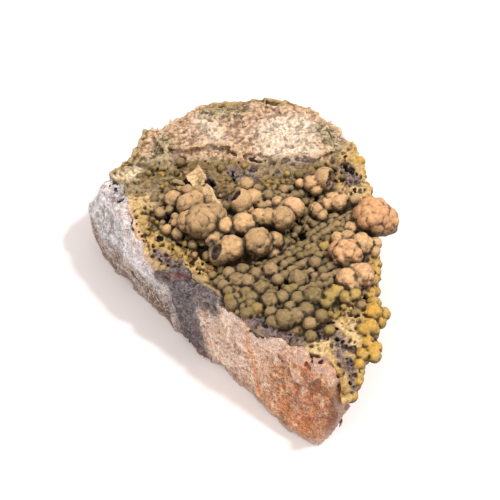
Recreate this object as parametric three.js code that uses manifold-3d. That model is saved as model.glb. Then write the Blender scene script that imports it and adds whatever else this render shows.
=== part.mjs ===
// A hand specimen of mottramite: a wedge of granular host rock, flat underneath, whose upper face and
// right flank carry a crust of olive and ochre spheroids, cellular boxwork and broken shells.
// Millimetres, +Z up. The origin is under the middle of the specimen, on the surface it rests on.
import * as THREE from "three";
import { mergeVertices } from "three/addons/utils/BufferGeometryUtils.js";
import Module from "manifold-3d";

const wasm = await Module();
wasm.setup();
const { Manifold, Mesh } = wasm;

// Driving dimensions.
const CENTRE = [0.65, 1.47]; // middle of the whole specimen in the drawing's coordinates, made the origin
const CRUST_THICKNESS = 2.6; // the mineral crust over the host rock
const ROCK_REACH = 2; // how far the host rock's own form passes the outline where no crust covers it
const CONTACT_GAP = 0.3; // between the rock and the crust, which touch in the real specimen
const SHELL_WALL = 0.75; // wall of the hollow spheroids
const TALLEST = 45; // above everything on the upper face
const MIDDLE = 15; // a height inside the rock
const FINE_BALL = 5; // spheroids over this radius have 180 facets
const COARSE_BALL = 2.9; // those up to this radius have 20 facets, and the others 80
const SIDE_ROUGHNESS = 0.8; // how far the broken side departs from its smooth form
const FACE_ROUGHNESS = 0.45; // the same for the crust's upper face
const MOUTH_SHARE = 0.92; // radius of the ball that breaks a hollow spheroid open, against its own
const PIT_RISE = 0.1; // how far the middle of an open cell lies above the upper face
const FACE_HALF = 60; // half the side of the square that the upper face is drawn on
const FACE_FLOOR = -10; // the underside of the form below that face

// Heights of the side's rings: foot, low, mid, shoulder and a top above the upper face, and how much of
// the crust's wrap over the right-hand edge counts at each.
const LEVELS = [0, 7, 15, 21, TALLEST];
const WRAP_AT_LEVEL = [0, 0.35, 1, 1, 1];

// The outline, counter-clockwise from the left corner. Each station gives the upper edge (x, y), the foot
// (x, y), how much of the way to the foot the side has gone at the low, mid and shoulder rings, and how
// much of the crust wraps over the edge there, from 0 to 1.
const STATIONS = [
  [-35, 22, -41, 21.5, 1.15, 1.3, 0.7, 0],
  [-31, 13, -38, 12.5, 1.15, 1.2, 0.65, 0],
  [-28.5, 6, -32.5, 5.5, 1.2, 1.3, 0.7, 0],
  [-25, -2, -26.8, -1.5, 1.3, 1.5, 0.9, 0],
  [-21.5, -9.5, -21.3, -7.8, 0.5, 0.2, 0.3, 0],
  [-13.5, -10.5, -15.5, -14.8, 0.95, 0.85, 0.7, 0],
  [-7.5, -18, -9.8, -21.5, 0.9, 0.65, 0.25, 0],
  [-1.5, -23, -3.8, -26, 0.9, 0.6, 0.2, 0],
  [4.5, -29, 1.6, -31.5, 0.9, 0.6, 0.2, 0],
  [10.5, -33.5, 7, -38.5, 0.85, 0.55, 0.2, 0],
  [16.5, -38, 12, -44.5, 0.85, 0.55, 0.2, 0],
  [22.5, -42, 17.5, -48.5, 0.85, 0.6, 0.25, 0],
  [26, -47, 20.5, -50.5, 0.75, 0.45, 0.15, 0],
  [27.5, -50, 22.5, -50, 0.5, 0.05, 0, 0],
  [30, -48.5, 24.5, -46, 0.6, 0.3, 0.1, 0.4],
  [31.8, -43, 27, -41.5, 0.6, 0.3, 0.1, 0.9],
  [33, -37, 30, -35.5, 0.6, 0.3, 0.1, 1],
  [34.5, -27, 32, -26.5, 0.6, 0.3, 0, 1],
  [36.5, -16, 34, -16, 0.6, 0.3, 0, 1],
  [38, -5, 35.5, -5, 0.6, 0.3, 0, 1],
  [37.5, 8, 35.5, 8, 0.6, 0.3, 0, 1],
  [37.5, 18, 36, 18, 0.6, 0.3, 0, 0.9],
  [36.5, 26, 36, 27, 0.5, 0, 0, 0.7],
  [34, 35.5, 34, 36, 0.5, 0, 0, 0.4],
  [27, 44.5, 27.5, 45, 0.5, 0, 0, 0.1],
  [20, 49.5, 20, 50, 1.5, 1, 0.5, 0],
  [10, 52, 10, 52.5, 2, 2, 0.5, 0],
  [0, 52, 0, 52.5, 2, 1.5, 0.5, 0],
  [-10, 50, -10, 51, 1.5, 1, 0.5, 0],
  [-17, 46.5, -17.5, 47.5, 1.5, 1, 0.5, 0],
  [-20, 42.5, -21, 43.5, 1.5, 1, 0.5, 0],
  [-26, 39.5, -27, 41, 1.5, 1, 0.5, 0],
  [-28, 33, -30, 34.5, 1.3, 1.2, 0.6, 0],
  [-31, 27, -35, 27.5, 1.15, 1.2, 0.6, 0],
];

// Spot heights of the upper face: x, y, z. A raised back, a sag along the middle and a lip at the right.
const SPOT_HEIGHTS = [
  [-34, 20, 24.5], [-30, 10, 26], [-24, -3, 23.5], [-20, -9, 20.5], [-26, 38, 25], [-16, 46, 26],
  [0, 50, 26.5], [12, 49, 27], [24, 43, 26], [32, 33, 26.2], [8, 38, 27.4], [-8, 38, 26.6], [20, 34, 26.6],
  [0, 27, 26.2], [12, 25, 26], [-15, 22, 26], [-12, 4, 24.5], [0, 2, 25], [10, 6, 25], [0, 12, 25.5],
  [12, 12, 25], [-4, -9, 21.5], [8, -3, 21], [18, 4, 21], [25, 10, 22], [2, -18, 24], [12, -14, 23.5],
  [22, -8, 24], [30, 0, 25.5], [30, -14, 26.5], [20, -22, 26], [10, -26, 25.5], [28, -30, 26],
  [20, -34, 25.5], [26, -42, 24], [29, -49, 21.5], [36, -18, 26.5], [37, -3, 26.5], [36, 10, 25.5],
  [35, 22, 25.5],
];
const SHEET_CELL = 5.5; // grid of the crust's upper face
const ROCK_CELL = 12; // grid of the rock's face under the crust
const SPOT_BLEND = 4; // mm2, how far a spot height is rounded into its neighbours

// Layers of the crust that end in broken ledges: outline on the upper face and height above it.
const LAYERS = [
  {
    // the raised plateau at the back
    rise: 1.7,
    outline: [
      [-23, 37], [-21, 31.5], [-13, 30], [-8, 32], [-2, 31], [1, 28.5], [7, 29], [11, 26], [17, 28], [22, 27],
      [29, 31.5], [26.5, 41], [19, 46.5], [9, 49], [-1, 49], [-9, 47.5], [-15.5, 43], [-19, 40],
    ],
  },
  {
    // the flaky step in front of it
    rise: 1.3,
    outline: [[-28, 27], [-23, 23.5], [-17, 25], [-12, 23.5], [-9, 27], [-14, 28], [-20, 29], [-27, 31]],
  },
  {
    // the shelf that carries the cluster of spheroids
    rise: 1.2,
    outline: [
      [-19, 14], [-17, 7], [-15, 1], [-9, -3], [-1, -5], [6, -5.5], [11, -3], [15, 1], [17.5, 7], [14, 14],
      [5, 17], [-5, 17], [-12, 19],
    ],
  },
];

// The larger spheroids: x, y, z of the centre, radius.
const SPHEROIDS = [
  // the raised cluster at the left
  [-13.1, 9.5, 27, 3.1], [-11.2, 11.2, 27.2, 2.8], [-9.1, 2.1, 28.5, 4.5], [-12.5, 2.8, 27.8, 3.1],
  [-5.9, 4.6, 28, 3.6], [-2.8, 1.8, 27.2, 2.7], [-5.6, -1.8, 26, 2.4], [2.2, 2.3, 26.8, 3.4],
  [-1, -4.6, 25.6, 3.5], [6.1, -2.6, 25.6, 3.9], [10.6, -0.9, 24.4, 2.4], [6.4, 5, 27.2, 2.5],
  [8.9, 4.8, 27.2, 2.6], [12.8, 4.4, 27.3, 3.3], [15.8, 8.7, 26.6, 3.2], [11.5, 10.8, 26.6, 1.9],
  [5, 12.2, 26.8, 2.6], [3, 17.2, 26.6, 2.4], [-17.2, 12.5, 26, 2.5], [-13.2, 15.6, 26, 2.1],
  [10.3, -4, 22.4, 1.9],
  // the right-hand lip, the giant at the edge and the warty pair beside it
  [37.3, 5.3, 26.5, 5.4], [40, 5, 25.8, 4.3], [29.5, -8.4, 27.6, 3.9], [27.2, -6.6, 26.9, 2.7],
  [28, -9.4, 28, 2.4], [31.3, -8, 28.3, 2.5], [29.2, -17, 27.8, 2.9], [30.4, -19, 27.2, 2.2],
  [33, -16, 28, 3.1], [31.4, -14.6, 28.2, 2], [33.6, -4.8, 27.4, 3.1], [27.8, -1.8, 26, 2],
  [30.2, -1.6, 26.3, 2.2], [31.3, 2.2, 25.8, 1.9], [26.8, 13.5, 25.3, 2], [28.5, 11.5, 25.5, 2.2],
  [25.4, 12, 24.6, 2], [21, 18.2, 26.3, 2.3], [22.3, 10.5, 24, 2.2],
  // rows in the hollow, from the back to the front
  [21.3, -9, 24.6, 2], [-1.5, -11.3, 22.9, 2], [5.6, -11.8, 23.4, 1.9], [9.5, -10.8, 23.6, 2.2],
  [2, -9.6, 22, 2.2], [0.6, -14, 23, 2.4], [3.2, -14.6, 23.4, 2.2], [16.8, -15, 25, 2.6],
  [6.9, -18, 25, 2.2], [9, -22.8, 26, 2.3], [12.3, -21.8, 26, 2], [16.3, -22.3, 26.4, 2],
  [20.2, -22, 26.8, 2.6], [24.6, -22, 26.8, 2.1], [26.4, -20.8, 27, 2.1], [28.2, -22.2, 27, 1.9],
  [30.8, -21.6, 27.2, 1.9],
  // the long sausage at the front and the ochre lumps beyond it
  [10, -29.4, 26, 1.9], [12.7, -29, 26.6, 2.6], [15.7, -28.2, 26.8, 2.3], [18.2, -26.6, 27, 2.2],
  [19, -30.4, 26.4, 1.9], [22, -28.2, 26.8, 2],
  // over the right flank
  [35.4, -26, 25.6, 2.5], [38, -25.8, 24.6, 1.9], [34.3, -30, 24.6, 2.4], [34.6, -37, 23.4, 2.1],
  [36.2, -10, 21.5, 2], [36.2, -0.5, 20.5, 2.1], [36, -20, 19.5, 2.2], [36.4, 12.5, 21, 2.2],
];

// Broad swellings of the crust on the right flank, mostly buried in it: centre and radius.
const SWELLINGS = [
  [31.5, -29, 17, 5.2], [32, -21, 12, 5], [33.5, -12, 18, 4.8], [33, -3, 12, 5.2], [33.6, 4, 19, 4.9],
  [32.6, 13, 13, 5.4], [33, 21, 19, 4.9], [31.4, 29, 22, 4], [27.6, -38, 13, 4.8],
];

// Hollow spheroids broken open: centre, radius and the way the break faces.
const BROKEN = [
  { at: [-4.2, -6, 25.2], radius: 3, faces: [-0.75, -0.1, 0.65] },
  { at: [1.4, 10.7, 27.1], radius: 3.6, faces: [-0.75, 0.45, 0.5] },
  { at: [25, 19.4, 27], radius: 3.3, faces: [0.85, -0.35, 0.2] },
];

// The curled flake of shell that stands on the crust behind the cluster.
const FLAKE = { at: [-8.6, 17, 27.2], length: 11, width: 3.6, bow: 1.5, wall: 0.9, turn: -58, tilt: 16 };

// Open cells of the boxwork: strips along the front right edge, the right edge and the left step.
const CELL_PATCHES = [
  { from: [14, -33.5], to: [28, -35], across: 7, count: 11 },
  { from: [26, -40], to: [29, -48], across: 5, count: 5 },
  { from: [34.5, -12], to: [33, -28], across: 3, count: 4 },
  { from: [32, 17], to: [33, 30], across: 6, count: 6 },
  { from: [-22, 0], to: [-11, -6], across: 6, count: 6 },
  { from: [-24, 8], to: [-18, 6], across: 7, count: 4 },
  { from: [-6, 22], to: [6, 23], across: 5, count: 4 },
];
const CELL_RADIUS = [1.2, 2]; // smallest and largest open cell

// Repeatable pseudo-random numbers from 0 to 1.
function makeRandom(seed) {
  let state = seed;
  return () => {
    state = (state * 1103515245 + 12345) % 2147483648;
    return state / 2147483648;
  };
}

const lerp = (a, b, t) => a + (b - a) * t;
const smoothstep = (t) => {
  const s = Math.min(1, Math.max(0, t));
  return s * s * (3 - 2 * s);
};

// A gentle unevenness from -1 to 1, with waves of a few millimetres.
function unevenness(x, y, z) {
  return (
    (Math.sin(0.83 * x + 1.7 * Math.sin(0.41 * y + 0.3 * z)) +
      Math.sin(0.77 * y + 1.5 * Math.sin(0.53 * z + 0.37 * x)) +
      Math.sin(0.91 * z + 1.3 * Math.sin(0.47 * x - 0.29 * y))) /
    3
  );
}

// Height of the upper face, without the spheroids.
function faceHeight(x, y) {
  let sum = 0;
  let weights = 0;
  for (const [sx, sy, sz] of SPOT_HEIGHTS) {
    const weight = 1 / ((x - sx) ** 2 + (y - sy) ** 2 + SPOT_BLEND) ** 2;
    sum += weight * sz;
    weights += weight;
  }
  return sum / weights;
}

// A closed Catmull-Rom curve through rows of numbers.
function closedCurve(rows, steps) {
  const count = rows.length;
  const made = [];
  rows.forEach((row, i) => {
    const [before, here, next, after] = [-1, 0, 1, 2].map((k) => rows[(i + k + count) % count]);
    for (let s = 0; s < steps; s += 1) {
      const t = s / steps;
      made.push(
        here.map(
          (b, k) =>
            0.5 *
            (2 * b +
              (next[k] - before[k]) * t +
              (2 * before[k] - 5 * b + 4 * next[k] - after[k]) * t * t +
              (3 * b - before[k] - 3 * next[k] + after[k]) * t ** 3),
        ),
      );
    }
  });
  return made;
}

// The side's rings, one per level, each a list of [x, y, z]. `push(wrap, level)` moves them outwards.
function sideRings(push, roughness) {
  const curve = closedCurve(STATIONS, 2);
  const count = curve.length;
  return LEVELS.map((z, level) =>
    curve.map((row, i) => {
      const [rimX, rimY, footX, footY, low, mid, shoulder, wrap] = row;
      const toFoot = [1, low, mid, shoulder, 0][level];
      const [ax, ay] = curve[(i - 2 + count) % count];
      const [bx, by] = curve[(i + 2) % count];
      const run = Math.hypot(bx - ax, by - ay);
      const x = lerp(rimX, footX, toFoot);
      const y = lerp(rimY, footY, toFoot);
      const out = push(wrap, level) + (level === 4 ? 0 : roughness * unevenness(x, y, z));
      return [x + (out * (by - ay)) / run, y - (out * (bx - ax)) / run, z];
    }),
  );
}

function solidFrom(geometry) {
  geometry.deleteAttribute("normal");
  geometry.deleteAttribute("uv");
  const merged = mergeVertices(geometry, 1e-4);
  return new Manifold(
    new Mesh({
      numProp: 3,
      vertProperties: new Float32Array(merged.attributes.position.array),
      triVerts: new Uint32Array(merged.index.array),
    }),
  );
}

function solidFromFaces(points, faces) {
  const geometry = new THREE.BufferGeometry();
  geometry.setAttribute("position", new THREE.Float32BufferAttribute(points.flat(), 3));
  geometry.setIndex(faces.flat());
  return solidFrom(geometry);
}

// A closed solid through stacked rings, with flat ends.
function loft(rings) {
  const count = rings[0].length;
  const faces = [];
  for (let level = 0; level + 1 < rings.length; level += 1) {
    for (let i = 0; i < count; i += 1) {
      const a = level * count + i;
      const b = level * count + ((i + 1) % count);
      faces.push([a, b, b + count], [a, b + count, a + count]);
    }
  }
  const capOf = (ring) => {
    const outline = ring.map(([x, y]) => new THREE.Vector2(x, y));
    return THREE.ShapeUtils.triangulateShape(outline, []);
  };
  const last = (rings.length - 1) * count;
  capOf(rings[0]).forEach(([a, b, c]) => faces.push([a, c, b]));
  capOf(rings.at(-1)).forEach(([a, b, c]) => faces.push([last + a, last + b, last + c]));
  return solidFromFaces(rings.flat(), faces);
}

// Everything below the upper face, shifted by `lift`, on a square grid.
function belowFace(lift, cell, roughness) {
  const n = Math.ceil((2 * FACE_HALF) / cell);
  const at = (i, j) => {
    const x = -FACE_HALF + i * cell;
    const y = -FACE_HALF + j * cell;
    return [x, y, faceHeight(x, y) + lift + roughness * unevenness(1.7 * x, 1.7 * y, 3)];
  };
  const points = [];
  const faces = [];
  for (let j = 0; j <= n; j += 1) {
    for (let i = 0; i <= n; i += 1) points.push(at(i, j));
  }
  const row = n + 1;
  for (let j = 0; j < n; j += 1) {
    for (let i = 0; i < n; i += 1) {
      const a = j * row + i;
      faces.push([a, a + 1, a + row + 1], [a, a + row + 1, a + row]);
    }
  }
  const border = [];
  for (let i = 0; i < n; i += 1) border.push(i);
  for (let j = 0; j < n; j += 1) border.push(j * row + n);
  for (let i = n; i > 0; i -= 1) border.push(n * row + i);
  for (let j = n; j > 0; j -= 1) border.push(j * row);
  const base = points.length;
  border.forEach((top) => points.push([points[top][0], points[top][1], FACE_FLOOR]));
  border.forEach((top, i) => {
    const nextTop = border[(i + 1) % border.length];
    const here = base + i;
    const next = base + ((i + 1) % border.length);
    faces.push([top, here, next], [top, next, nextTop]);
  });
  for (let i = 1; i + 1 < border.length; i += 1) faces.push([base, base + i + 1, base + i]);
  return solidFromFaces(points, faces);
}

// An upright prism over an outline, from inside the rock to above everything.
function upright(outline) {
  return loft([MIDDLE, TALLEST].map((z) => outline.map(([x, y]) => [x, y, z])));
}

const joined = (solids) => solids.reduce((all, solid) => all.add(solid));

function ball([x, y, z], radius, turn) {
  const detail = radius > FINE_BALL ? 2 : radius > COARSE_BALL ? 1 : 0;
  const geometry = new THREE.IcosahedronGeometry(radius, detail);
  geometry.rotateX(turn);
  geometry.rotateZ(2 * turn);
  geometry.translate(x, y, z);
  return solidFrom(geometry);
}

// A hollow spheroid's outside, and what is empty in and in front of it.
function brokenShell({ at, radius, faces }) {
  const way = new THREE.Vector3(...faces).normalize();
  const centre = new THREE.Vector3(...at);
  const mouth = centre.clone().addScaledVector(way, radius);
  return {
    outside: ball(at, radius, 0.4),
    hollow: ball(at, radius - SHELL_WALL, 1.1).add(ball(mouth.toArray(), radius * MOUTH_SHARE, 0.2)),
  };
}

// The curled flake: a bowed strip, a little thicker than the real shell, which is nearly paper-thin.
function flake({ at, length, width, bow, wall, turn, tilt }) {
  const steps = 7;
  const outline = new THREE.Shape();
  const bowAt = (t) => bow * Math.sin(Math.PI * t);
  for (let i = 0; i <= steps; i += 1) {
    const t = i / steps;
    const point = [(t - 0.5) * length, bowAt(t) + wall / 2];
    if (i === 0) outline.moveTo(...point);
    else outline.lineTo(...point);
  }
  for (let i = steps; i >= 0; i -= 1) {
    const t = i / steps;
    outline.lineTo((t - 0.5) * length, bowAt(t) - wall / 2);
  }
  const geometry = new THREE.ExtrudeGeometry(outline, { depth: width, bevelEnabled: false });
  geometry.translate(0, 0, -width / 2);
  geometry.rotateX(Math.PI / 2);
  geometry.rotateX(THREE.MathUtils.degToRad(tilt));
  geometry.rotateZ(THREE.MathUtils.degToRad(turn));
  geometry.translate(...at);
  return solidFrom(geometry);
}

// The boxwork's open cells: small pits along each patch.
function cells() {
  const random = makeRandom(11);
  return CELL_PATCHES.flatMap(({ from, to, across, count }) => {
    const run = Math.hypot(to[0] - from[0], to[1] - from[1]);
    const side = [-(to[1] - from[1]) / run, (to[0] - from[0]) / run];
    return Array.from({ length: count }, (_, i) => {
      const along = (i + random()) / count;
      const off = (random() - 0.5) * across;
      const x = lerp(from[0], to[0], along) + side[0] * off;
      const y = lerp(from[1], to[1], along) + side[1] * off;
      const radius = lerp(...CELL_RADIUS, random());
      const pit = new THREE.OctahedronGeometry(radius, 0);
      pit.rotateZ(3 * random());
      pit.translate(x, y, faceHeight(x, y) + PIT_RISE);
      return solidFrom(pit);
    });
  });
}

// The whole specimen's outer form, up to above the upper face.
const outerForm = loft(sideRings(() => 0, SIDE_ROUGHNESS));

// The rock's own form, grown by `grow`: it passes the outline where it lies bare, and stays behind it by
// the crust's thickness where the crust wraps over the edge.
const rockForm = (grow) =>
  loft(
    sideRings((wrap, level) => {
      const covered = WRAP_AT_LEVEL[level] * smoothstep(wrap);
      return lerp(ROCK_REACH, -CRUST_THICKNESS, covered) + grow;
    }, SIDE_ROUGHNESS),
  ).intersect(belowFace(grow - CRUST_THICKNESS, ROCK_CELL, 0));

function makeMatrixRock() {
  return outerForm.intersect(rockForm(-CONTACT_GAP / 2));
}

function makeCrust() {
  const shells = BROKEN.map(brokenShell);
  const sheet = outerForm.intersect(belowFace(0, SHEET_CELL, FACE_ROUGHNESS));
  const layers = LAYERS.map(({ rise, outline }) =>
    upright(outline).intersect(belowFace(rise, SHEET_CELL, FACE_ROUGHNESS)),
  );
  const grown = [...SPHEROIDS, ...SWELLINGS].map(([x, y, z, radius], i) => ball([x, y, z], radius, i));
  const whole = joined([sheet, ...layers, ...grown, ...shells.map((shell) => shell.outside)]);
  const hollowed = whole.subtract(joined([...cells(), ...shells.map((shell) => shell.hollow)]));
  return hollowed.add(flake(FLAKE)).subtract(rockForm(CONTACT_GAP / 2));
}

// The corners' numbers of the piece with the most faces: a cut can loosen crumbs, which are left out.
function mainPiece(corners, pointCount) {
  const leader = Array.from({ length: pointCount }, (_, i) => i);
  const find = (i) => {
    let at = i;
    while (leader[at] !== at) {
      leader[at] = leader[leader[at]];
      at = leader[at];
    }
    return at;
  };
  for (let i = 0; i < corners.length; i += 3) {
    leader[find(corners[i + 1])] = find(corners[i]);
    leader[find(corners[i + 2])] = find(corners[i]);
  }
  const sizes = new Map();
  corners.forEach((corner) => sizes.set(find(corner), (sizes.get(find(corner)) ?? 0) + 1));
  const [main] = [...sizes].sort((a, b) => b[1] - a[1])[0];
  return corners.filter((corner) => find(corner) === main);
}

function geometryOf(solid) {
  const { vertProperties, triVerts } = solid.getMesh();
  const geometry = new THREE.BufferGeometry();
  geometry.setAttribute("position", new THREE.Float32BufferAttribute(vertProperties, 3));
  geometry.setIndex(mainPiece(Array.from(triVerts), vertProperties.length / 3));
  return geometry;
}

function namedMesh(name, solid, look) {
  const material = new THREE.MeshStandardMaterial(look);
  const mesh = new THREE.Mesh(geometryOf(solid), material);
  mesh.name = name;
  mesh.position.set(-CENTRE[0], -CENTRE[1], 0);
  return mesh;
}

const specimen = new THREE.Group();
specimen.add(
  namedMesh("matrix_rock", makeMatrixRock(), { color: 0xa89488, roughness: 0.95, metalness: 0 }),
  namedMesh("mottramite_crust", makeCrust(), { color: 0x8c7a3e, roughness: 0.75, metalness: 0 }),
);

export default specimen;
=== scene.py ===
# %% [markdown]
# # A hand specimen of mottramite, dressed
#
# The specimen is a wedge of granular host rock whose upper face and right flank carry a crust of olive and
# ochre mineral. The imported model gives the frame: a host rock and a crust, both plain and faceted. Here each
# of them becomes a fine mesh with the surface of the real thing, and replaces its plain solid.

# %% Load the frame
import math
from functools import reduce

import bpy
import numpy as np
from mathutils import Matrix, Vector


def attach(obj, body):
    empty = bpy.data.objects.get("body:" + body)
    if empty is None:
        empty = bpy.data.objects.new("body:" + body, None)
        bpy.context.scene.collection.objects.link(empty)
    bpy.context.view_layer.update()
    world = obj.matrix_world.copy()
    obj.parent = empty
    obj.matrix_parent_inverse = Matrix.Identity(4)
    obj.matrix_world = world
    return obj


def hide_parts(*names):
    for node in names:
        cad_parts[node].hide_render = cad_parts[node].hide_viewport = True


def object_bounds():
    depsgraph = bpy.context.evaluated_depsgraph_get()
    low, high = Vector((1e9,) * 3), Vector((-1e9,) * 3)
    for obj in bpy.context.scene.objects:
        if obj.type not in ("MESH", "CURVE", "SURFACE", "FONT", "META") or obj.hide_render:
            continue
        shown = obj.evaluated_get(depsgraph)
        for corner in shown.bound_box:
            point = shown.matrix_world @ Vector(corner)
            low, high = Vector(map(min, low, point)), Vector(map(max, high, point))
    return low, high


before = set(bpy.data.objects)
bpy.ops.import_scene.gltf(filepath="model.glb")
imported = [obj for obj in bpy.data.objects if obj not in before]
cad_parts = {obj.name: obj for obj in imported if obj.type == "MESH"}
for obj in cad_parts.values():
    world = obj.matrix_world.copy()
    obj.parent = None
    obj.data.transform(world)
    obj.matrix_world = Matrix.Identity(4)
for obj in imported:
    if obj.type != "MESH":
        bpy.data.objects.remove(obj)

import openvdb
from mathutils import Vector

cad_box = [[float(value) for value in corner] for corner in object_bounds()]
print("CAD box in metres", cad_box)

# %% [markdown]
# The photograph looks down on the specimen from the front, at half a right angle and a little more, with a
# longish lens. A camera is easiest to place by what it looks at: a target inside the specimen, a distance
# and an elevation. The rotation then follows from the line of sight.

# %% Place the camera
MM = 0.001
CENTRE = (0.65, 1.47)  # where the origin lies in the drawing, mm
TARGET = Vector((4.0 - CENTRE[0], 4.5 - CENTRE[1], 14.0)) * MM
ELEVATION = math.radians(50)
DISTANCE = 330 * MM

camera_data = bpy.data.cameras.new("photo_camera")
camera_data.lens = 85
camera_data.sensor_width = 36
camera = bpy.data.objects.new("photo_camera", camera_data)
bpy.context.scene.collection.objects.link(camera)
camera.location = TARGET + DISTANCE * Vector((0, -math.cos(ELEVATION), math.sin(ELEVATION)))
camera.rotation_euler = (TARGET - camera.location).to_track_quat("-Z", "Y").to_euler()
bpy.context.scene.camera = camera

# %% [markdown]
# The specimen lies on a white sheet that runs out of view. The floor is one large square with a plain
# material.

# %% Lay the floor
FLOOR_HALF = 3.0
floor_mesh = bpy.data.meshes.new("floor")
floor_corners = [(-FLOOR_HALF, -FLOOR_HALF), (FLOOR_HALF, -FLOOR_HALF), (FLOOR_HALF, FLOOR_HALF),
                 (-FLOOR_HALF, FLOOR_HALF)]
floor_mesh.from_pydata([(x, y, 0) for x, y in floor_corners], [], [(0, 1, 2, 3)])
floor = bpy.data.objects.new("floor", floor_mesh)
bpy.context.scene.collection.objects.link(floor)
floor_paint = bpy.data.materials.new("white_sheet")
floor_paint.use_nodes = True
floor_shader = floor_paint.node_tree.nodes["Principled BSDF"]
floor_shader.inputs["Base Color"].default_value = (0.93, 0.925, 0.925, 1)
floor_shader.inputs["Roughness"].default_value = 0.9
floor_shader.inputs["Specular IOR Level"].default_value = 0.1
floor_mesh.materials.append(floor_paint)

# %% [markdown]
# The shadow falls to the left and has a fairly crisp edge, so the main lamp is small and stands high at the
# right. A wide, weak lamp in front and a bright, slightly warm surround fill the shadows.


# %% Hang the lamps
def soft_lamp(name, azimuth, elevation, distance, size, power):
    """An area lamp that looks at the specimen from an azimuth (0 is +X, 90 is +Y) and an elevation."""
    a, e = math.radians(azimuth), math.radians(elevation)
    way = Vector((math.cos(a) * math.cos(e), math.sin(a) * math.cos(e), math.sin(e)))
    data = bpy.data.lights.new(name, "AREA")
    data.shape = "DISK"
    data.size = size
    data.energy = power
    lamp = bpy.data.objects.new(name, data)
    lamp.location = TARGET + way * distance
    lamp.rotation_euler = (-way).to_track_quat("-Z", "Y").to_euler()
    bpy.context.scene.collection.objects.link(lamp)


soft_lamp("key_lamp", azimuth=0, elevation=60, distance=1.2, size=0.12, power=8)
soft_lamp("front_lamp", azimuth=-112, elevation=38, distance=1.2, size=0.9, power=3)
surround = bpy.data.worlds.new("white_surround")
surround.use_nodes = True
sky = surround.node_tree
warm_fill = sky.nodes["Background"]
warm_fill.inputs["Color"].default_value = (1, 0.89, 0.855, 1)
warm_fill.inputs["Strength"].default_value = 0.88
white_behind = sky.nodes.new("ShaderNodeBackground")
seen_or_not = sky.nodes.new("ShaderNodeMixShader")
ray = sky.nodes.new("ShaderNodeLightPath")
for socket, output in enumerate([ray.outputs["Is Camera Ray"], warm_fill.outputs[0], white_behind.outputs[0]]):
    sky.links.new(output, seen_or_not.inputs[socket])
sky.links.new(seen_or_not.outputs[0], sky.nodes["World Output"].inputs["Surface"])
bpy.context.scene.world = surround
bpy.context.scene.view_settings.view_transform = "Standard"

# %% [markdown]
# Rock and crust have no smooth outline to model by hand: they are broken, lumpy and full of holes. A volume
# suits them better. Space is cut into small cubes, each cube holds its distance to the surface, less than
# nothing inside, and a mesh is drawn where the distance is nought. Two forms join by taking the smaller
# distance, a hole is cut by taking the larger, and roughness is noise added to the distance.

# %% Set up the volume
VOXEL = 0.36
MARGIN = 1.6
LOW = np.array([cad_box[0][axis] / MM - MARGIN for axis in range(3)])
HIGH = np.array([cad_box[1][axis] / MM + MARGIN for axis in range(3)])
SHAPE = tuple(int(math.ceil(span / VOXEL)) + 1 for span in HIGH - LOW)
# Coordinates in the drawing that the solids were laid out in, mm.
DRAWING_LOW = LOW + np.array([CENTRE[0], CENTRE[1], 0.0])
AXES = [np.float32(DRAWING_LOW[axis] + VOXEL * np.arange(SHAPE[axis])) for axis in range(3)]
X = AXES[0][:, None, None]
Y = AXES[1][None, :, None]
Z = AXES[2][None, None, :]
across, along = X[:, :, 0], Y[:, :, 0]
FAR = 3.0  # distances are held within this many mm
print("volume of", SHAPE, "cubes of", VOXEL, "mm")


def level_at(height):
    """The number of the layer of cubes at a height, mm."""
    return int((height - AXES[2][0]) / VOXEL)


# %% [markdown]
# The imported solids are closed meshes, and their distances can be worked out cube by cube. From there on the
# rock and the crust are two arrays of numbers that lie in the same frame as the solids.


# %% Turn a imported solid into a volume
def distance_to_node(name):
    """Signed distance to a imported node, mm, from a copy of its mesh."""
    mesh = bpy.data.objects[name].data
    points = np.empty(len(mesh.vertices) * 3, np.float32)
    mesh.vertices.foreach_get("co", points)
    mesh.calc_loop_triangles()
    corners = np.empty(len(mesh.loop_triangles) * 3, np.int32)
    mesh.loop_triangles.foreach_get("vertices", corners)
    transform = openvdb.createLinearTransform(voxelSize=VOXEL)
    in_voxels = points.reshape(-1, 3) / MM - LOW
    grid = openvdb.FloatGrid.createLevelSetFromPolygons(
        np.float32(in_voxels), triangles=np.uint32(corners.reshape(-1, 3)), transform=transform,
        halfWidth=FAR / VOXEL)
    distance = np.empty(SHAPE, np.float32)
    grid.copyToArray(distance, ijk=(0, 0, 0))
    return np.clip(distance, -FAR, FAR)


rock = distance_to_node("matrix_rock")
crust = distance_to_node("mottramite_crust")
print("rock voxels", int((rock < 0).sum()), "crust voxels", int((crust < 0).sum()))

# %% [markdown]
# Three helpers do most of the work on volumes. Blurring a distance rounds off the flat facets of the plain
# solid. Noise comes from random values on a coarse lattice, blended in between, so it costs little even for
# millions of cubes. The height of a surface, as seen from above, tells where a new lump has to sit.


# %% Helpers: blur, noise, height
def blurred(field, radius):
    """A Gaussian blur of a volume, one axis after the other; radius in mm."""
    reach = int(math.ceil(2.5 * radius / VOXEL))
    steps = np.arange(-reach, reach + 1)
    weights = np.exp(-0.5 * (steps * VOXEL / radius) ** 2)
    weights /= weights.sum()
    for axis, count in enumerate(SHAPE):
        padding = [(reach, reach) if k == axis else (0, 0) for k in range(3)]
        padded = np.pad(field, padding, mode="edge")
        total = np.zeros(SHAPE, np.float32)
        for step, weight in zip(steps, weights):
            window = [slice(None)] * 3
            window[axis] = slice(reach + step, reach + step + count)
            total += np.float32(weight) * padded[tuple(window)]
        field = total
    return field


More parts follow.
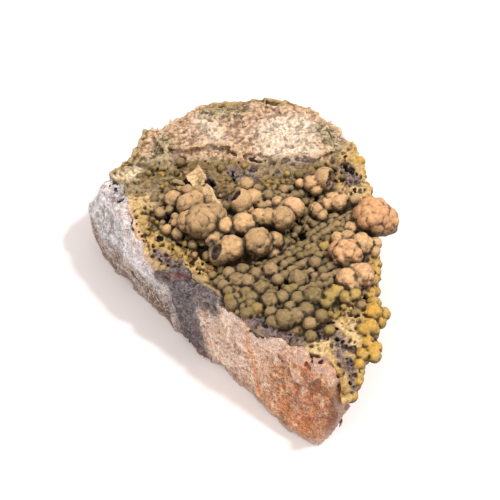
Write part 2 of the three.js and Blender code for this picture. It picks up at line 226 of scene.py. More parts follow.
def lattice_noise(cell, seed):
    """Smooth noise from -1 to 1 over the whole volume, with features of about `cell` mm."""
    random = np.random.default_rng(seed)
    field = random.uniform(-1, 1, [int(n * VOXEL / cell) + 3 for n in SHAPE]).astype(np.float32)
    for axis, count in enumerate(SHAPE):
        place = (np.arange(count) * VOXEL / cell + 0.37).astype(np.float32)
        index = place.astype(int)
        blend = place - index
        blend = blend * blend * (3 - 2 * blend)
        stretched = [count if k == axis else 1 for k in range(3)]
        low, high = np.take(field, index, axis), np.take(field, index + 1, axis)
        field = low + (high - low) * blend.reshape(stretched).astype(np.float32)
    return field


def top_heights(field):
    """Height of the highest surface in each column, mm in the drawing; 0 where there is none."""
    inside = field < 0
    index = SHAPE[2] - 1 - inside[:, :, ::-1].argmax(axis=2)
    columns = np.indices(index.shape)
    here = field[columns[0], columns[1], index]
    above = field[columns[0], columns[1], np.minimum(index + 1, SHAPE[2] - 1)]
    height = AXES[2][0] + VOXEL * (index + here / np.minimum(here - above, -1e-6))
    return np.where(inside.any(axis=2), height, 0)


def height_at(heights, x, y):
    """The nearest column's value in a map of heights."""
    i = int(np.clip(round((x - AXES[0][0]) / VOXEL), 0, SHAPE[0] - 1))
    j = int(np.clip(round((y - AXES[1][0]) / VOXEL), 0, SHAPE[1] - 1))
    return float(heights[i, j])


coarse_noise = lattice_noise(cell=5.2, seed=1)
middle_noise = lattice_noise(cell=2.1, seed=2)
small_noise = lattice_noise(cell=1.0, seed=3)
fine_noise = lattice_noise(cell=0.62, seed=4)

# %% [markdown]
# Much of the specimen is described by where things are on its upper face: the hollow full of small
# spheroids, the boxwork, the moss-like lumps. Each area is a few thick strokes, as one would shade them on a
# sketch: a start, an end and a half-width, in mm. The mask is 1 inside and fades out at the rim.

# %% Areas of the upper face
HOLLOW = [((0, -12), (20, 12), 6.5), ((4, -20), (27, -2), 7.5), ((13, -26), (29, -14), 4.5),
          ((20, 10), (29, 6), 5)]
FRONT_BOXWORK = [((13, -35), (29, -31), 3.2), ((22, -35), (30, -34), 4.5), ((25, -38), (30, -48), 5.5),
                 ((31, -27), (30, -35), 3.5), ((21, -31), (27, -28), 2.2)]
SIDE_BOXWORK = [((38, -4), (36, -20), 3), ((36.5, -18), (34, -27), 2.5), ((33, 17), (34, 31), 4.5),
                ((38, 10), (38, 30), 4)]
LEFT_BOXWORK = [((-27, 12), (-24, 3), 3.5), ((-24, -2), (-12, -6.5), 3.4), ((-12, -6), (-5, -11), 2.6)]
ROUGH_BELT = [((-31, 18), (-20, 17), 4), ((-24, 24), (-8, 24.5), 3.4), ((-8, 23.5), (16, 22.5), 4),
              ((14, 24), (27, 23), 3.4)]
MOSS = [((-25, 6), (-19, 3), 3), ((-22, 1), (-12, -2), 2.6), ((-25, 22), (-18, 21), 2.4),
        ((2, 20), (8, 19), 2), ((24, -27), (30, -26), 2.4), ((13, 19), (19, 15), 2)]
PLATEAU = [((-14, 38), (22, 38), 11), ((-18, 40), (-12, 45), 6), ((-22, 33), (-20, 36), 6)]


def stroke_depth(strokes, x, y):
    """How far inside the nearest stroke a point lies, mm; less than nothing outside."""
    depth = np.full(np.broadcast(x, y).shape, -1e3, np.float32)
    for (ax, ay), (bx, by), half_width in strokes:
        run = (bx - ax) ** 2 + (by - ay) ** 2
        along = np.clip(((x - ax) * (bx - ax) + (y - ay) * (by - ay)) / run, 0, 1)
        away = np.hypot(x - ax - along * (bx - ax), y - ay - along * (by - ay))
        depth = np.maximum(depth, half_width - away)
    return depth


def ramp(value, start, end):
    """0 up to start, 1 from end on, smooth in between."""
    t = np.clip((value - start) / (end - start), 0, 1)
    return t * t * (3 - 2 * t)


# %% [markdown]
# Rock and crust together make the whole body, with the crack between them filled. It tells how far a point
# lies from the outside, whichever of the two it belongs to.


# %% Join rock and crust for measuring
def smooth_union(a, b, width):
    """Both forms together, with the crack between them filled where it is narrower than `width`."""
    near = np.maximum(width - np.abs(a - b), 0) / width
    return np.minimum(a, b) - near * near * width / 4


def common_to(*forms):
    """What several forms have in common: the largest of their distances."""
    return reduce(np.maximum, forms)


body = blurred(smooth_union(rock, crust, 1.4), 0.5)
rock = blurred(rock, 0.7)

# %% [markdown]
# The rock broke along rough, nearly flat patches. Scattered points share out the space between them, and
# each one's share gets a plane of its own, slightly tilted: that gives chips and facets with sharp steps.
# Finer noise on top stands for the grains. Only cubes near the surface are worked on, which saves time.


# %% Chipped and granular rock
def cell_pattern(points, size, seed):
    """For each point, the offset from its nearest scattered point, that one's number, and how much
    further away the second nearest is. One point is scattered in each cell of a lattice."""
    counts = [int(n * VOXEL / size) + 5 for n in SHAPE]
    scattered = np.random.default_rng(seed).uniform(0.1, 0.9, (*counts, 3)).astype(np.float32)
    scattered += np.stack(np.meshgrid(*[np.arange(n) for n in counts], indexing="ij"), 3).astype(np.float32)
    scattered = scattered.reshape(-1, 3)
    start = np.array([axis[0] for axis in AXES], np.float32) - 2 * size
    scaled = ((points - start) / size).astype(np.float32)
    home = scaled.astype(np.int64)
    home = (home[:, 0] * counts[1] + home[:, 1]) * counts[2] + home[:, 2]
    nearest = np.full(len(points), 1e9, np.float32)
    second = nearest.copy()
    number = home.copy()
    for shift in np.ndindex(3, 3, 3):
        cell = home + ((shift[0] - 1) * counts[1] + shift[1] - 1) * counts[2] + shift[2] - 1
        away = ((scaled - scattered[cell]) ** 2).sum(axis=1)
        closer = away < nearest
        second = np.where(closer, nearest, np.minimum(second, away))
        nearest = np.where(closer, away, nearest)
        number = np.where(closer, cell, number)
    offset = (scaled - scattered[number]) * size
    return offset, number, (np.sqrt(second) - np.sqrt(nearest)) * size


def hashed(label, k):
    """A repeatable random number from 0 to 1 for each label."""
    mixed = (label * 2654435761 + (k + 1) * 40503 * 65537) & 0xFFFFFFFF
    mixed = ((mixed ^ (mixed >> 15)) * 2246822519) & 0xFFFFFFFF
    mixed = ((mixed ^ (mixed >> 13)) * 3266489917) & 0xFFFFFFFF
    return ((mixed ^ (mixed >> 16)) / 0xFFFFFFFF).astype(np.float32)


def near_surface(field, band):
    """Indices and drawing coordinates of the cubes within `band` mm of a surface."""
    index = np.nonzero(np.abs(field) < band)
    points = np.stack([AXES[axis][index[axis]] for axis in range(3)], 1).astype(np.float32)
    return index, points


def chipped(field, size, tilt, seed, band=2.4):
    """Facets of about `size` mm, each tilted by up to `tilt`, over the surface of a volume."""
    index, points = near_surface(field, band)
    offset, number, _ = cell_pattern(points, size, seed)
    slope = np.stack([hashed(number, 5 + k) - 0.5 for k in range(3)], 1) * 2 * tilt
    field[index] += (offset * slope).sum(axis=1)
    return field

# %% [markdown]
# At the front left and at the back the specimen is broken through, and the crust shows there only as a thin
# dark line along the edge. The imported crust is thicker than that, so the rock takes up its lower part near
# those edges: everything of the whole body that is near the side and some way under the top.

# %% Let the rock rise under the broken edge
CRUST_AT_EDGE = 1.25  # thickness of the dark line, mm
EDGE_BAND = 2.4  # how far in from the side the rock comes up, mm
EDGE_STEEPNESS = 2.5
BOXWORK_DEPTH = 2.0  # the rock stays this much lower under the boxwork, mm
SIDE_HEIGHT = 17  # where the distance to the side is measured, mm
FLANK_FROM, BACK_FROM = 26.5, 38  # right of the first and in front of the second the crust stays thick, mm
body_top = top_heights(body)[:, :, None].astype(np.float32)
inward = body[:, :, level_at(SIDE_HEIGHT)][:, :, None]
on_the_flank = np.minimum(X - FLANK_FROM, BACK_FROM - Y)
ragged = 0.45 * middle_noise + 0.3 * small_noise
deep_boxwork = BOXWORK_DEPTH * ramp(stroke_depth(FRONT_BOXWORK, across, along), -1, 1)[:, :, None]
under_edge = common_to(body + deep_boxwork, Z - body_top + CRUST_AT_EDGE + ragged,
                       ragged - EDGE_STEEPNESS * (inward + EDGE_BAND), on_the_flank)
rock = np.minimum(rock, under_edge)

# %% [markdown]
# Further along the front the crust is torn away from a dark slab that slopes down to the edge. There the rock
# comes right up, and a sloping plane cuts both. At the left corner and at the tip there is no crust either,
# only rock that lies a little lower. Elsewhere, away from the edges, the rock is kept well below the top, so
# that the pits and cells which are cut into the crust later never reach it.

# %% Lay the slab bare, and lower the hidden rock
SLAB = [((-20.3, -10.4), (-13.6, -10.6), 2.5), ((-13.8, -13.6), (-7.5, -19.6), 3.6)]
LEFT_EDGE = [(-42.1, 19.4), (-38, 14.5), (-36.9, 7.8), (-34.9, 1.2), (-30.2, -11.6)]
TIP_EDGE = [(3.6, -38.7), (13.2, -43), (18.9, -46.4), (18.7, -50)]
BARE_HALF = 8  # mm to each side of these edges
BARE_EDGES = [(*ends, BARE_HALF) for line in (LEFT_EDGE, TIP_EDGE) for ends in zip(line, line[1:])]
BARE_SINKS = 0.6  # mm
SLAB_TOP = np.array((-13.2, -12.6, 24.9))
SLAB_FALL = 0.5  # mm down for each mm outwards
SLAB_RISES_FOR = 1.5  # mm inwards, and is level from there
OUTWARD = np.array((-0.745, -0.67))
CRUST_DEPTH = 4.2  # of the rock's top below the crust's, mm
UNDER_SURFACE = 2.2  # mm
ROCK_SHOWS_BELOW = 10.0  # height, mm
fray = 0.6 * middle_noise + 0.3 * small_noise
bare = (stroke_depth(SLAB, across, along)[:, :, None] + fray).astype(np.float32)
bare_edge = (stroke_depth(BARE_EDGES, across, along)[:, :, None] + fray).astype(np.float32)
fall = (X - SLAB_TOP[0]) * OUTWARD[0] + (Y - SLAB_TOP[1]) * OUTWARD[1]
slope = (Z - SLAB_TOP[2] + SLAB_FALL * np.maximum(fall, -SLAB_RISES_FOR)) / math.hypot(1, SLAB_FALL)
rock = np.minimum(rock, np.maximum(body, -bare))
sunk = BARE_SINKS * ramp(Z - body_top, -4.0, -1.0)
rock = np.maximum(np.minimum(rock, np.maximum(body, -bare_edge)), np.minimum(body + sunk, bare_edge))
rock = np.maximum(rock, np.minimum(slope, bare))
well_inside = np.maximum(-3 * (body + UNDER_SURFACE), ROCK_SHOWS_BELOW - Z)
below_crust = np.minimum(body_top - CRUST_DEPTH - Z, well_inside)
rock = np.maximum(rock, -common_to(below_crust, 2 * (inward + UNDER_SURFACE), bare, bare_edge))
rock = chipped(rock, size=5.5, tilt=0.13, seed=21)
rock = chipped(rock, size=1.9, tilt=0.16, seed=22)
rock += 0.2 * middle_noise + 0.2 * small_noise + 0.14 * fine_noise
rock = np.maximum(rock, -Z)
print("rock surface cubes", int((np.abs(rock) < 0.5).sum()))

# %% [markdown]
# Every spheroid that can be told apart in the photograph has its own place and radius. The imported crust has
# the larger ones as rough balls; the list here repeats them and adds the smaller ones. Some of them are
# warty: a ball with a coat of smaller balls that just stand out of it. A ball's tone is a number that the
# material turns into a colour: ochre near 0.1, dark olive near 0.35, tan from 0.45 on and pinkish near 0.9.

# %% List the spheroids
CLUSTER = [
    (-13.1, 9.5, 27, 3.1), (-11.2, 11.2, 27.2, 2.8), (-9.1, 2.1, 28.5, 4.5), (-12.5, 2.8, 27.8, 3.1),
    (-5.9, 4.6, 28, 3.6), (-2.8, 1.8, 27.2, 2.7), (-2.2, 4.2, 27, 1.5), (-5.6, -1.8, 26, 2.4),
    (2.2, 2.3, 26.8, 3.4), (-1, -4.6, 25.6, 3.5), (6.1, -2.6, 25.6, 3.9), (10.6, -0.9, 24.4, 2.4),
    (6.4, 5, 27.2, 2.5), (8.9, 4.8, 27.2, 2.6), (12.8, 4.4, 27.3, 3.3),
    (11.5, 10.8, 26.6, 1.9), (9.2, 10.5, 26.2, 1.4), (7.2, 10, 26.2, 1.5), (4, 8.3, 26, 1.3),
    (5, 12.2, 26.8, 2.6), (3, 17.2, 26.6, 2.4), (-17.2, 12.5, 26, 2.5), (-13.2, 15.6, 26, 2.1),
    (10.3, -4, 22.4, 1.9), (-16, 4.5, 25, 1.6), (-18.5, 2.5, 25, 1.5), (-15.6, 1, 24.8, 1.7),
]
LIP = [
    (29.2, -17, 27.8, 2.9), (30.4, -19, 27.2, 2.2), (33, -16, 28, 3.1), (31.4, -14.6, 28.2, 2),
    (33.6, -4.8, 27.4, 3.1), (27.8, -1.8, 26, 2), (30.2, -1.6, 26.3, 2.2), (31.3, 2.2, 25.8, 1.9),
    (37.4, -3.8, 26.6, 1.8), (37, -6.5, 26.4, 1.6), (26.8, 13.5, 25.3, 2), (28.5, 11.5, 25.5, 2.2),
    (25.4, 12, 24.6, 2), (32.8, 12, 26.5, 1.6), (30, 12.8, 26, 1.3), (21, 18.2, 26.3, 2.3),
    (18, 18.4, 26.2, 1.5), (22.4, 16.6, 25.6, 1.8), (22.3, 10.5, 24, 2.2), (23.8, 9, 23.6, 1.7),
]
FIELD = [
    (24, -3.2, 24, 1.8), (21.3, -9, 24.6, 2), (5.6, -11.8, 23.4, 1.9), (9.5, -10.8, 23.6, 2.2),
    (-1.5, -11.3, 22.9, 2), (2, -9.6, 22, 2.2), (0.6, -14, 23, 2.4), (3.2, -14.6, 23.4, 2.2),
    (11.3, -14.4, 24.2, 1.8), (13.2, -13, 24.1, 1.7), (16.8, -15, 25, 2.6), (6.9, -18, 25, 2.2),
    (9.4, -20.4, 25.4, 1.8), (9, -22.8, 26, 2.3), (12.3, -21.8, 26, 2), (16.3, -22.3, 26.4, 2),
    (20.2, -22, 26.8, 2.6), (24.6, -22, 26.8, 2.1), (26.4, -20.8, 27, 2.1), (28.2, -22.2, 27, 1.9),
    (30.8, -21.6, 27.2, 1.9), (23.4, -24.2, 26.6, 1.6),
    (10, -29.4, 26, 1.9), (12.7, -29, 26.6, 2.6), (15.7, -28.2, 26.8, 2.3), (18.2, -26.6, 27, 2.2),
    (19, -30.4, 26.4, 1.9), (22, -28.2, 26.8, 2), (19.2, -33.8, 26, 1.6), (24, -32.4, 26.4, 1.5),
]
FLANK = [
    (35.4, -26, 25.6, 2.5), (38, -25.8, 24.6, 1.9), (37.2, -28, 24, 1.7), (34.3, -30, 24.6, 2.4),
    (32.6, -31.6, 25.6, 1.8), (33.4, -34, 24, 1.8), (34.6, -37, 23.4, 2.1), (35.6, -35.8, 23.6, 1.7),
    (32, -38, 24, 1.6), (35.6, -22.6, 25, 1.7), (36.2, -10, 21.5, 2), (36.2, -0.5, 20.5, 2.1),
    (36.2, -14, 18.5, 1.8), (36, -20, 19.5, 2.2), (36.4, 12.5, 21, 2.2), (36.4, 15, 19, 1.8),
]
GIANT = [(37.3, 5.3, 26.5, 5.4), (40, 5, 25.8, 4.3)]
WARTY = [(29.5, -8.4, 27.6, 3.9), (27.2, -6.6, 26.9, 2.7)]

balls = []  # x, y, z, radius, tone
tones = np.random.default_rng(7)


def add_listed(listed, tone, spread=0.05, lobed_from=9.0):
    """Put listed spheroids on the list, each with a tone of its own around the given one. From a certain
    radius on they get shallow lobes, which are smaller balls that reach just past the surface."""
    for x, y, z, radius in listed:
        own_tone = tone + spread * tones.uniform(-1, 1)
        balls.append((x, y, z, radius, own_tone))
        if radius < lobed_from:
            continue
        count = int(8 + 2 * radius)
        start = tones.uniform(0, 6.28)
        for k in range(count):
            up = 0.96 - 1.3 * (k + 0.3) / count
            turn = start + 2.399963 * k + tones.uniform(-0.35, 0.35)
            flat = math.sqrt(max(0, 1 - up * up))
            way = np.array([flat * math.cos(turn), flat * math.sin(turn), up])
            share = tones.uniform(0.42, 0.58)
            spot = np.array((x, y, z)) + way * radius * (1.09 - share)
            balls.append((*spot, radius * share, own_tone + 0.015 * tones.uniform(-1, 1)))


def add_warts(centre, radius, count, share, tone):
    """Cover the upper part of a ball with smaller balls."""
    for k in range(count):
        up = 1 - 1.35 * (k + 0.5) / count
        turn = 2.399963 * k + tones.uniform(-0.3, 0.3)
        flat = math.sqrt(max(0, 1 - up * up))
        way = np.array([flat * math.cos(turn), flat * math.sin(turn), up])
        small = radius * share * tones.uniform(0.85, 1.15)
        spot = np.array(centre) + way * (radius - 0.72 * small)
        balls.append((*spot, small, tone + 0.04 * tones.uniform(-1, 1)))


add_listed([(-4.2, -6, 25.2, 3.2), (1.4, 10.7, 27.1, 3.6), (25, 19.4, 27, 3.4)], 0.45, 0.03)
add_listed([(15.8, 8.7, 26.6, 3.2)], 0.62)
add_listed(CLUSTER, 0.475, 0.03, lobed_from=2.2)
add_listed(LIP, 0.5, 0.05, lobed_from=1.9)
add_listed([ball for ball in FIELD if ball[0] < 23], 0.38, 0.05, lobed_from=2.1)
add_listed([ball for ball in FIELD if ball[0] >= 23], 0.27, 0.04, lobed_from=2.1)
add_listed(FLANK, 0.15, 0.05, lobed_from=1.8)
add_listed(GIANT, 0.9, 0.02, lobed_from=4)
add_listed(WARTY, 0.8, 0.02)
add_warts((29.5, -8.4, 27.6), 3.9, 15, 0.45, 0.8)
add_warts((33, -16, 28), 3.1, 12, 0.42, 0.75)
add_warts((29.2, -17, 27.8), 2.9, 9, 0.42, 0.75)
print(len(balls), "spheroids by hand")

# %% [markdown]
# The rest of the hollow is packed with small spheroids in rows, like short sausages that run from the front
# left to the back right. A loop walks along each row and drops overlapping balls, leaving room around those
# that are there already. Other places get loose balls, thrown at random and kept where they fit.

# %% Strew the small spheroids
ROW_TURN = math.radians(24)
ROW_PITCH = 2.5
ROWS_MIDDLE = np.array([14.0, -8.0])
ROW_HALF = 26  # mm
EDGE_ROOM = 1.8  # mm that a spheroid's middle keeps from the edge
LOWEST_GROUND = 12  # height, mm
LIP_FROM, PLENTY = 26, -9.0  # right of the first there is always room towards the side, mm
TOP_LAYER = 60  # the number of a layer of cubes near the upper face
heights = top_heights(np.minimum(blurred(crust, 0.8), blurred(rock, 0.8)))
strewing = np.random.default_rng(12)
all_bare = np.maximum(bare, bare_edge)[:, :, TOP_LAYER]
side_room = np.maximum(np.where(across > LIP_FROM, PLENTY, inward[:, :, 0]), all_bare)


def room_at(there, x, y, radius, overlap):
    """Whether a ball may go here, overlapping its neighbours by no more than a share of their radii."""
    away = np.hypot(there[:, 0] - x, there[:, 1] - y)
    return bool((away > (there[:, 2] + radius) * (1 - overlap)).all())


def fill_rows():
    """Rows of overlapping balls all over the hollow."""
    way = np.array([math.cos(ROW_TURN), math.sin(ROW_TURN)])
    side = np.array([-way[1], way[0]])
    there = np.array([(x, y, radius) for x, y, _, radius, _ in balls])
    made = []
    for row in range(-12, 13):
        along = -ROW_HALF
        drift = strewing.uniform(-0.3, 0.3)
        while along < ROW_HALF:
            larger = 0.4 if along < -2 and row < 0 else 0.0
            radius = strewing.uniform(1.05 + larger, 1.6 + larger)
            bend = 0.5 * math.sin(0.35 * along + row)
            x, y = ROWS_MIDDLE + along * way + (row * ROW_PITCH + drift + bend) * side
            free = room_at(there, x, y, radius, overlap=0.3)
            if free and stroke_depth(HOLLOW, x, y) > 0 > height_at(side_room, x, y) + EDGE_ROOM:
                z = height_at(heights, x, y) + radius * strewing.uniform(0.0, 0.35)
                # The larger spheroids at the lower left of the hollow get a darker tone: partly their own dark
                # olive, partly painted shade of that low part of the hollow.
                middle_tone = 0.345 if larger else 0.38
                made.append((x, y, z, radius, middle_tone + 0.045 * strewing.uniform(-1, 1)))
            along += radius * strewing.uniform(0.85, 1.25) + (strewing.random() < 0.16) * 1.1
    return made


def strew(strokes, tries, smallest, largest, overlap, lift, tone):
    """Loose balls over an area, the large ones first."""
    spans = np.array([[min(a[k], b[k]) - w for a, b, w in strokes] for k in range(2)]).min(axis=1)
    ends = np.array([[max(a[k], b[k]) + w for a, b, w in strokes] for k in range(2)]).max(axis=1)
    there = np.array([(x, y, radius) for x, y, _, radius, _ in balls])
    for attempt in range(tries):
        radius = largest + (smallest - largest) * (attempt / tries) ** 0.6
        x, y = strewing.uniform(spans, ends)
        if stroke_depth(strokes, x, y) < 0 or not room_at(there, x, y, radius, overlap):
            continue
        ground = height_at(heights, x, y)
        if ground > LOWEST_GROUND and height_at(side_room, x, y) < -EDGE_ROOM:
            own_tone = tone + 0.05 * strewing.uniform(-1, 1)
            balls.append((x, y, ground + lift * radius, radius, own_tone))
            there = np.vstack([there, (x, y, radius)])


balls += fill_rows()
CLUSTER_FOOT = [((-17, 8), (-8, -2), 4), ((-8, 12), (16, 10), 5), ((-3, -3), (12, 1), 3),
                ((14, 14), (26, 14), 4), ((24, 6), (36, 2), 4), ((30, -12), (35, -22), 4)]
strew(CLUSTER_FOOT, tries=900, smallest=0.7, largest=1.9, overlap=0.35, lift=0.1, tone=0.4)
strew(HOLLOW, tries=1800, smallest=0.55, largest=1.2, overlap=0.42, lift=-0.35, tone=0.36)
strew(MOSS, tries=1200, smallest=0.45, largest=1.0, overlap=0.3, lift=-0.1, tone=0.3)
strew(ROUGH_BELT, tries=60, smallest=0.7, largest=1.4, overlap=0.1, lift=-0.3, tone=0.33)
print(len(balls), "spheroids in all")

# %% [markdown]
# The flank at the right is too steep for a map of heights, so its spheroids are found from the side: for a
# random place along the flank and a random height, the surface is the outermost cube that is inside.

# %% Strew spheroids on the flank
FLANK_LENGTH = (-46, 33)  # mm, from the front to the back
FLANK_HEIGHTS = (8, 24.5)  # mm


def strew_flank(tries, smallest, largest, lift, tone):
    """Loose balls on the right-hand flank."""
    there = []
    for attempt in range(tries):
        radius = largest + (smallest - largest) * (attempt / tries) ** 0.7
        y, z = strewing.uniform(*FLANK_LENGTH), strewing.uniform(*FLANK_HEIGHTS)
        inside = np.nonzero(body[:, int((y - AXES[1][0]) / VOXEL), level_at(z)] < 0)[0]
        if len(inside) == 0:
            continue
        x = float(AXES[0][inside[-1]]) + lift * radius
        spot = np.array((x, y, z))
        if any(np.linalg.norm(spot - other) < 0.7 * (radius + size) for other, size in there):
            continue
        there.append((spot, radius))
        balls.append((x, y, z, radius, tone + 0.07 * strewing.uniform(-1, 1)))


strew_flank(tries=420, smallest=0.6, largest=1.9, lift=-0.15, tone=0.18)
print(len(balls), "spheroids with the flank's")

# %% [markdown]
# All balls go into one volume of their own first. It keeps, for each cube, the distance to the nearest ball,
# that ball's tone, so that the material can later tell ball from ball, and how high on its ball the cube
# lies. A little noise makes the balls slightly uneven, as grown spheroids are.

# %% Join the spheroids
ball_field = np.full(SHAPE, FAR, np.float32)
ball_tone = np.zeros(SHAPE, np.float32)
ball_rise = np.zeros(SHAPE, np.float32)


def block_around(centre, reach):
    """The cubes within reach of a point, as slices."""
    return tuple(
        slice(max(0, int((centre[k] - reach - AXES[k][0]) / VOXEL)),
              min(SHAPE[k], int((centre[k] + reach - AXES[k][0]) / VOXEL) + 2))
        for k in range(3))


def distance_to(centre, block):
    """Distance from a point to each cube of a block, mm."""
    bx, by, bz = block
    return np.sqrt((X[bx] - centre[0]) ** 2 + (Y[:, by] - centre[1]) ** 2 + (Z[:, :, bz] - centre[2]) ** 2)


for x, y, z, radius, tone in balls:
    block = block_around((x, y, z), radius + 1.6)
    distance = distance_to((x, y, z), block) - radius
    distance += radius * 0.05 * middle_noise[block] + 0.05 * small_noise[block]
    closer = distance < ball_field[block]
    ball_field[block][closer] = distance[closer]
    ball_tone[block][closer] = tone
    ball_rise[block][closer] = np.broadcast_to((Z[:, :, block[2]] - z) / radius, distance.shape)[closer]
print("cubes inside spheroids", int((ball_field < 0).sum()))

# %% [markdown]
# The ground between the spheroids differs from place to place. On the plateau it is sandy and flaky, in the
# belt in front of it rough and torn, and elsewhere it is mostly hidden. The masks of the areas decide how
# much noise each place gets. Rounded knobs with sharp grooves between them come last, on the ground and, in
# three sizes, on the spheroids, whose surface is never quite smooth either.

# %% Roughen the ground
def area_mask(strokes, soft=1.2):
    """1 inside an area, 0 outside, as a volume one cube high."""
    return ramp(stroke_depth(strokes, across, along), -soft, soft)[:, :, None].astype(np.float32)


plateau = area_mask(PLATEAU)
rough_belt = area_mask(ROUGH_BELT, 1.5)
boxwork = np.maximum.reduce([area_mask(s, 0.8) for s in (FRONT_BOXWORK, SIDE_BOXWORK, LEFT_BOXWORK)])
hollow_area = area_mask(HOLLOW + CLUSTER_FOOT, 1.5)
moss_area = area_mask(MOSS, 1.5)
left_side = ramp(across, -14, -20)[:, :, None].astype(np.float32)
ground = np.minimum(blurred(crust, 0.45), np.maximum(body, 2 * (inward + UNDER_SURFACE)))
ground = np.maximum(ground, np.minimum(slope, bare + 0.5))
ground = chipped(ground, size=3.1, tilt=0.16, seed=23)
ground = chipped(ground, size=6.5, tilt=0.1, seed=24)
ground += 0.9 * hollow_area
flakes = ramp(coarse_noise, -0.12, 0.0) + ramp(coarse_noise, 0.3, 0.42) + ramp(middle_noise, 0.1, 0.3)
ground -= (0.4 * plateau + 0.35 * rough_belt) * (flakes - 1.2)
ground += (0.16 - 0.06 * plateau + 0.22 * rough_belt) * middle_noise
ground += (0.14 - 0.02 * plateau + 0.2 * rough_belt) * small_noise
ground += 0.12 * fine_noise


def knobbly(field, size, height, mask, seed):
    """Raise rounded knobs with sharp grooves between them, as high as `height` where the mask is 1."""
    index, points = near_surface(field, 1.1)
    strength = np.broadcast_to(mask, SHAPE)[index]
    index = tuple(part[strength > 0.05] for part in index)
    points, strength = points[strength > 0.05], strength[strength > 0.05]
    bent = points + 0.3 * np.stack([middle_noise[index], small_noise[index], -middle_noise[index]], 1)
    _, number, spare = cell_pattern(bent, size, seed)
    knob = np.sqrt(np.minimum(spare / size, 0.6) / 0.6) * (0.4 + 0.9 * hashed(number, 4))
    field[index] -= height * strength * (knob - 0.4)
    return field


FIELD_TONES = 0.45  # spheroids with a lower tone are the small ones of the field and the flank
in_the_field = (ball_tone < FIELD_TONES).astype(np.float32)
ball_field = knobbly(ball_field, size=1.35, height=0.3, mask=in_the_field, seed=43)
ball_field = knobbly(ball_field, size=2.5, height=0.3, mask=1 - in_the_field, seed=44)
ball_field = knobbly(ball_field, size=0.85, height=0.07, mask=np.float32(1), seed=45)
lumpy = np.maximum(np.maximum(rough_belt, moss_area), np.maximum(0.75 * left_side, 0.2 * plateau))
ground = knobbly(ground, size=2.0, height=0.75, mask=lumpy, seed=41)
lumpy = np.maximum(lumpy, np.maximum(0.5 * boxwork, 0.4 * plateau))
ground = knobbly(ground, size=1.15, height=0.4, mask=lumpy, seed=42)

# %% [markdown]
# Broken ledges show where one layer of crust ends on top of another. Each has a dark crack at its foot,
# which is cut as a row of short rods along the ledge, a little under it.

# %% Cut the cracks under the ledges
LEDGE_FEET = [
    [(-21, 31.5), (-13, 30), (-8, 32), (-2, 31), (1, 28.5), (7, 29), (11, 26), (17, 28), (22, 27),
     (29, 31.5)],
    [(-28, 27), (-23, 23.5), (-17, 25), (-12, 23.5), (-9, 27)],
    [(-24.5, 18), (-21, 17.2), (-17, 17.6), (-14.6, 17)],
    [(-21, 21.5), (-17.5, 22)],
    [(8, 22.5), (13, 21), (18, 22)],
]


def rod(start, end, radius):
    """A block of cubes around a rod with round ends, and the distance to it."""
    start, end = np.array(start), np.array(end)
    middle = (start + end) / 2
    block = block_around(middle, float(np.linalg.norm(end - start)) / 2 + radius + 1.5)
    way = end - start
    bx, by, bz = block
    away = [X[bx] - start[0], Y[:, by] - start[1], Z[:, :, bz] - start[2]]
    share = np.clip(sum(away[k] * way[k] for k in range(3)) / (way ** 2).sum(), 0, 1)
    gap = np.sqrt(sum((away[k] - share * way[k]) ** 2 for k in range(3)))
    return block, gap - radius


CRACK_RADIUS = 0.7
IN_FRONT, ABOVE, BEHIND = 1.2, 0.45, 0.3  # the crack lies above the ground in front of the ledge, mm
for foot in LEDGE_FEET:
    for (ax, ay), (bx, by) in zip(foot, foot[1:]):
        z = min(height_at(heights, ax, ay - IN_FRONT), height_at(heights, bx, by - IN_FRONT)) + ABOVE
        block, distance = rod((ax, ay + BEHIND, z), (bx, by + BEHIND, z), CRACK_RADIUS)
        distance += 0.3 * small_noise[block] + 0.45 * middle_noise[block]
        ground[block] = np.maximum(ground[block], -distance)

# %% [markdown]
# Boxwork is what is left when crystals dissolve: thin walls around small empty cells. The same scattered
# points as for the chips share out the space here, the walls stay where two shares meet, and the rest is
# cut away to a certain depth. The uncut ground is kept, since it tells how deep in a cell a point lies, and
# so is a thin lining on the rock, which no later cut may take away.

# %% Cut the boxwork
uncut = ground.copy()
LINING = 0.6  # mm of crust that every cut leaves on the rock
lining = np.maximum(np.minimum(ground, ball_field), rock - LINING)


def boxwork_cells(field, mask, size, wall, depth, seed):
    """Cut open cells into a surface where the mask is 1, leaving thin walls between them."""
    everywhere = np.broadcast_to(mask > 0.02, SHAPE)
    index = np.nonzero((np.abs(field) < depth + 0.8) & everywhere)
    points = np.stack([AXES[axis][index[axis]] for axis in range(3)], 1).astype(np.float32)
    bent = points + 0.35 * np.stack([middle_noise[index], small_noise[index], -middle_noise[index]], 1)
    _, number, spare = cell_pattern(bent, size, seed)
    strength = np.broadcast_to(mask, SHAPE)[index]
    open_cell = spare / 2 - wall - 1.2 * (1 - strength)
    kept = hashed(number, 9) < 0.16
    open_cell = np.where(kept, -0.3, open_cell)
    here = field[index]
    field[index] = np.maximum(here, np.minimum(open_cell, here + depth * (0.6 + 0.6 * hashed(number, 8))))


boxwork_cells(ground, boxwork, size=1.7, wall=0.16, depth=1.7, seed=31)
boxwork_cells(ground, area_mask(ROUGH_BELT, 1.0) * 0.9, size=1.6, wall=0.22, depth=1.1, seed=32)

# %% [markdown]
# A few of the listed spheroids are hollow and broken open. Each has a smaller ball taken out of it and a
# third taken away where the break faces: its middle, its radius, the way the break faces and the width of
# the mouth are given. The pale shell behind the cluster is a bent strip over a dark gap.

# %% Break the hollow spheroids open
BROKEN = [((-4.2, -6, 25.2), 3.2, (-0.75, -0.1, 0.65), 1.0),
          ((1.4, 10.7, 27.1), 3.6, (-0.72, 0.2, 0.7), 0.72),
          ((25, 19.4, 27), 3.4, (0.85, -0.35, 0.2), 1.0)]
SHELL_WALL = 0.75
crust_field = np.minimum(ground, ball_field)
shell_inside = np.full(SHAPE, FAR, np.float32)

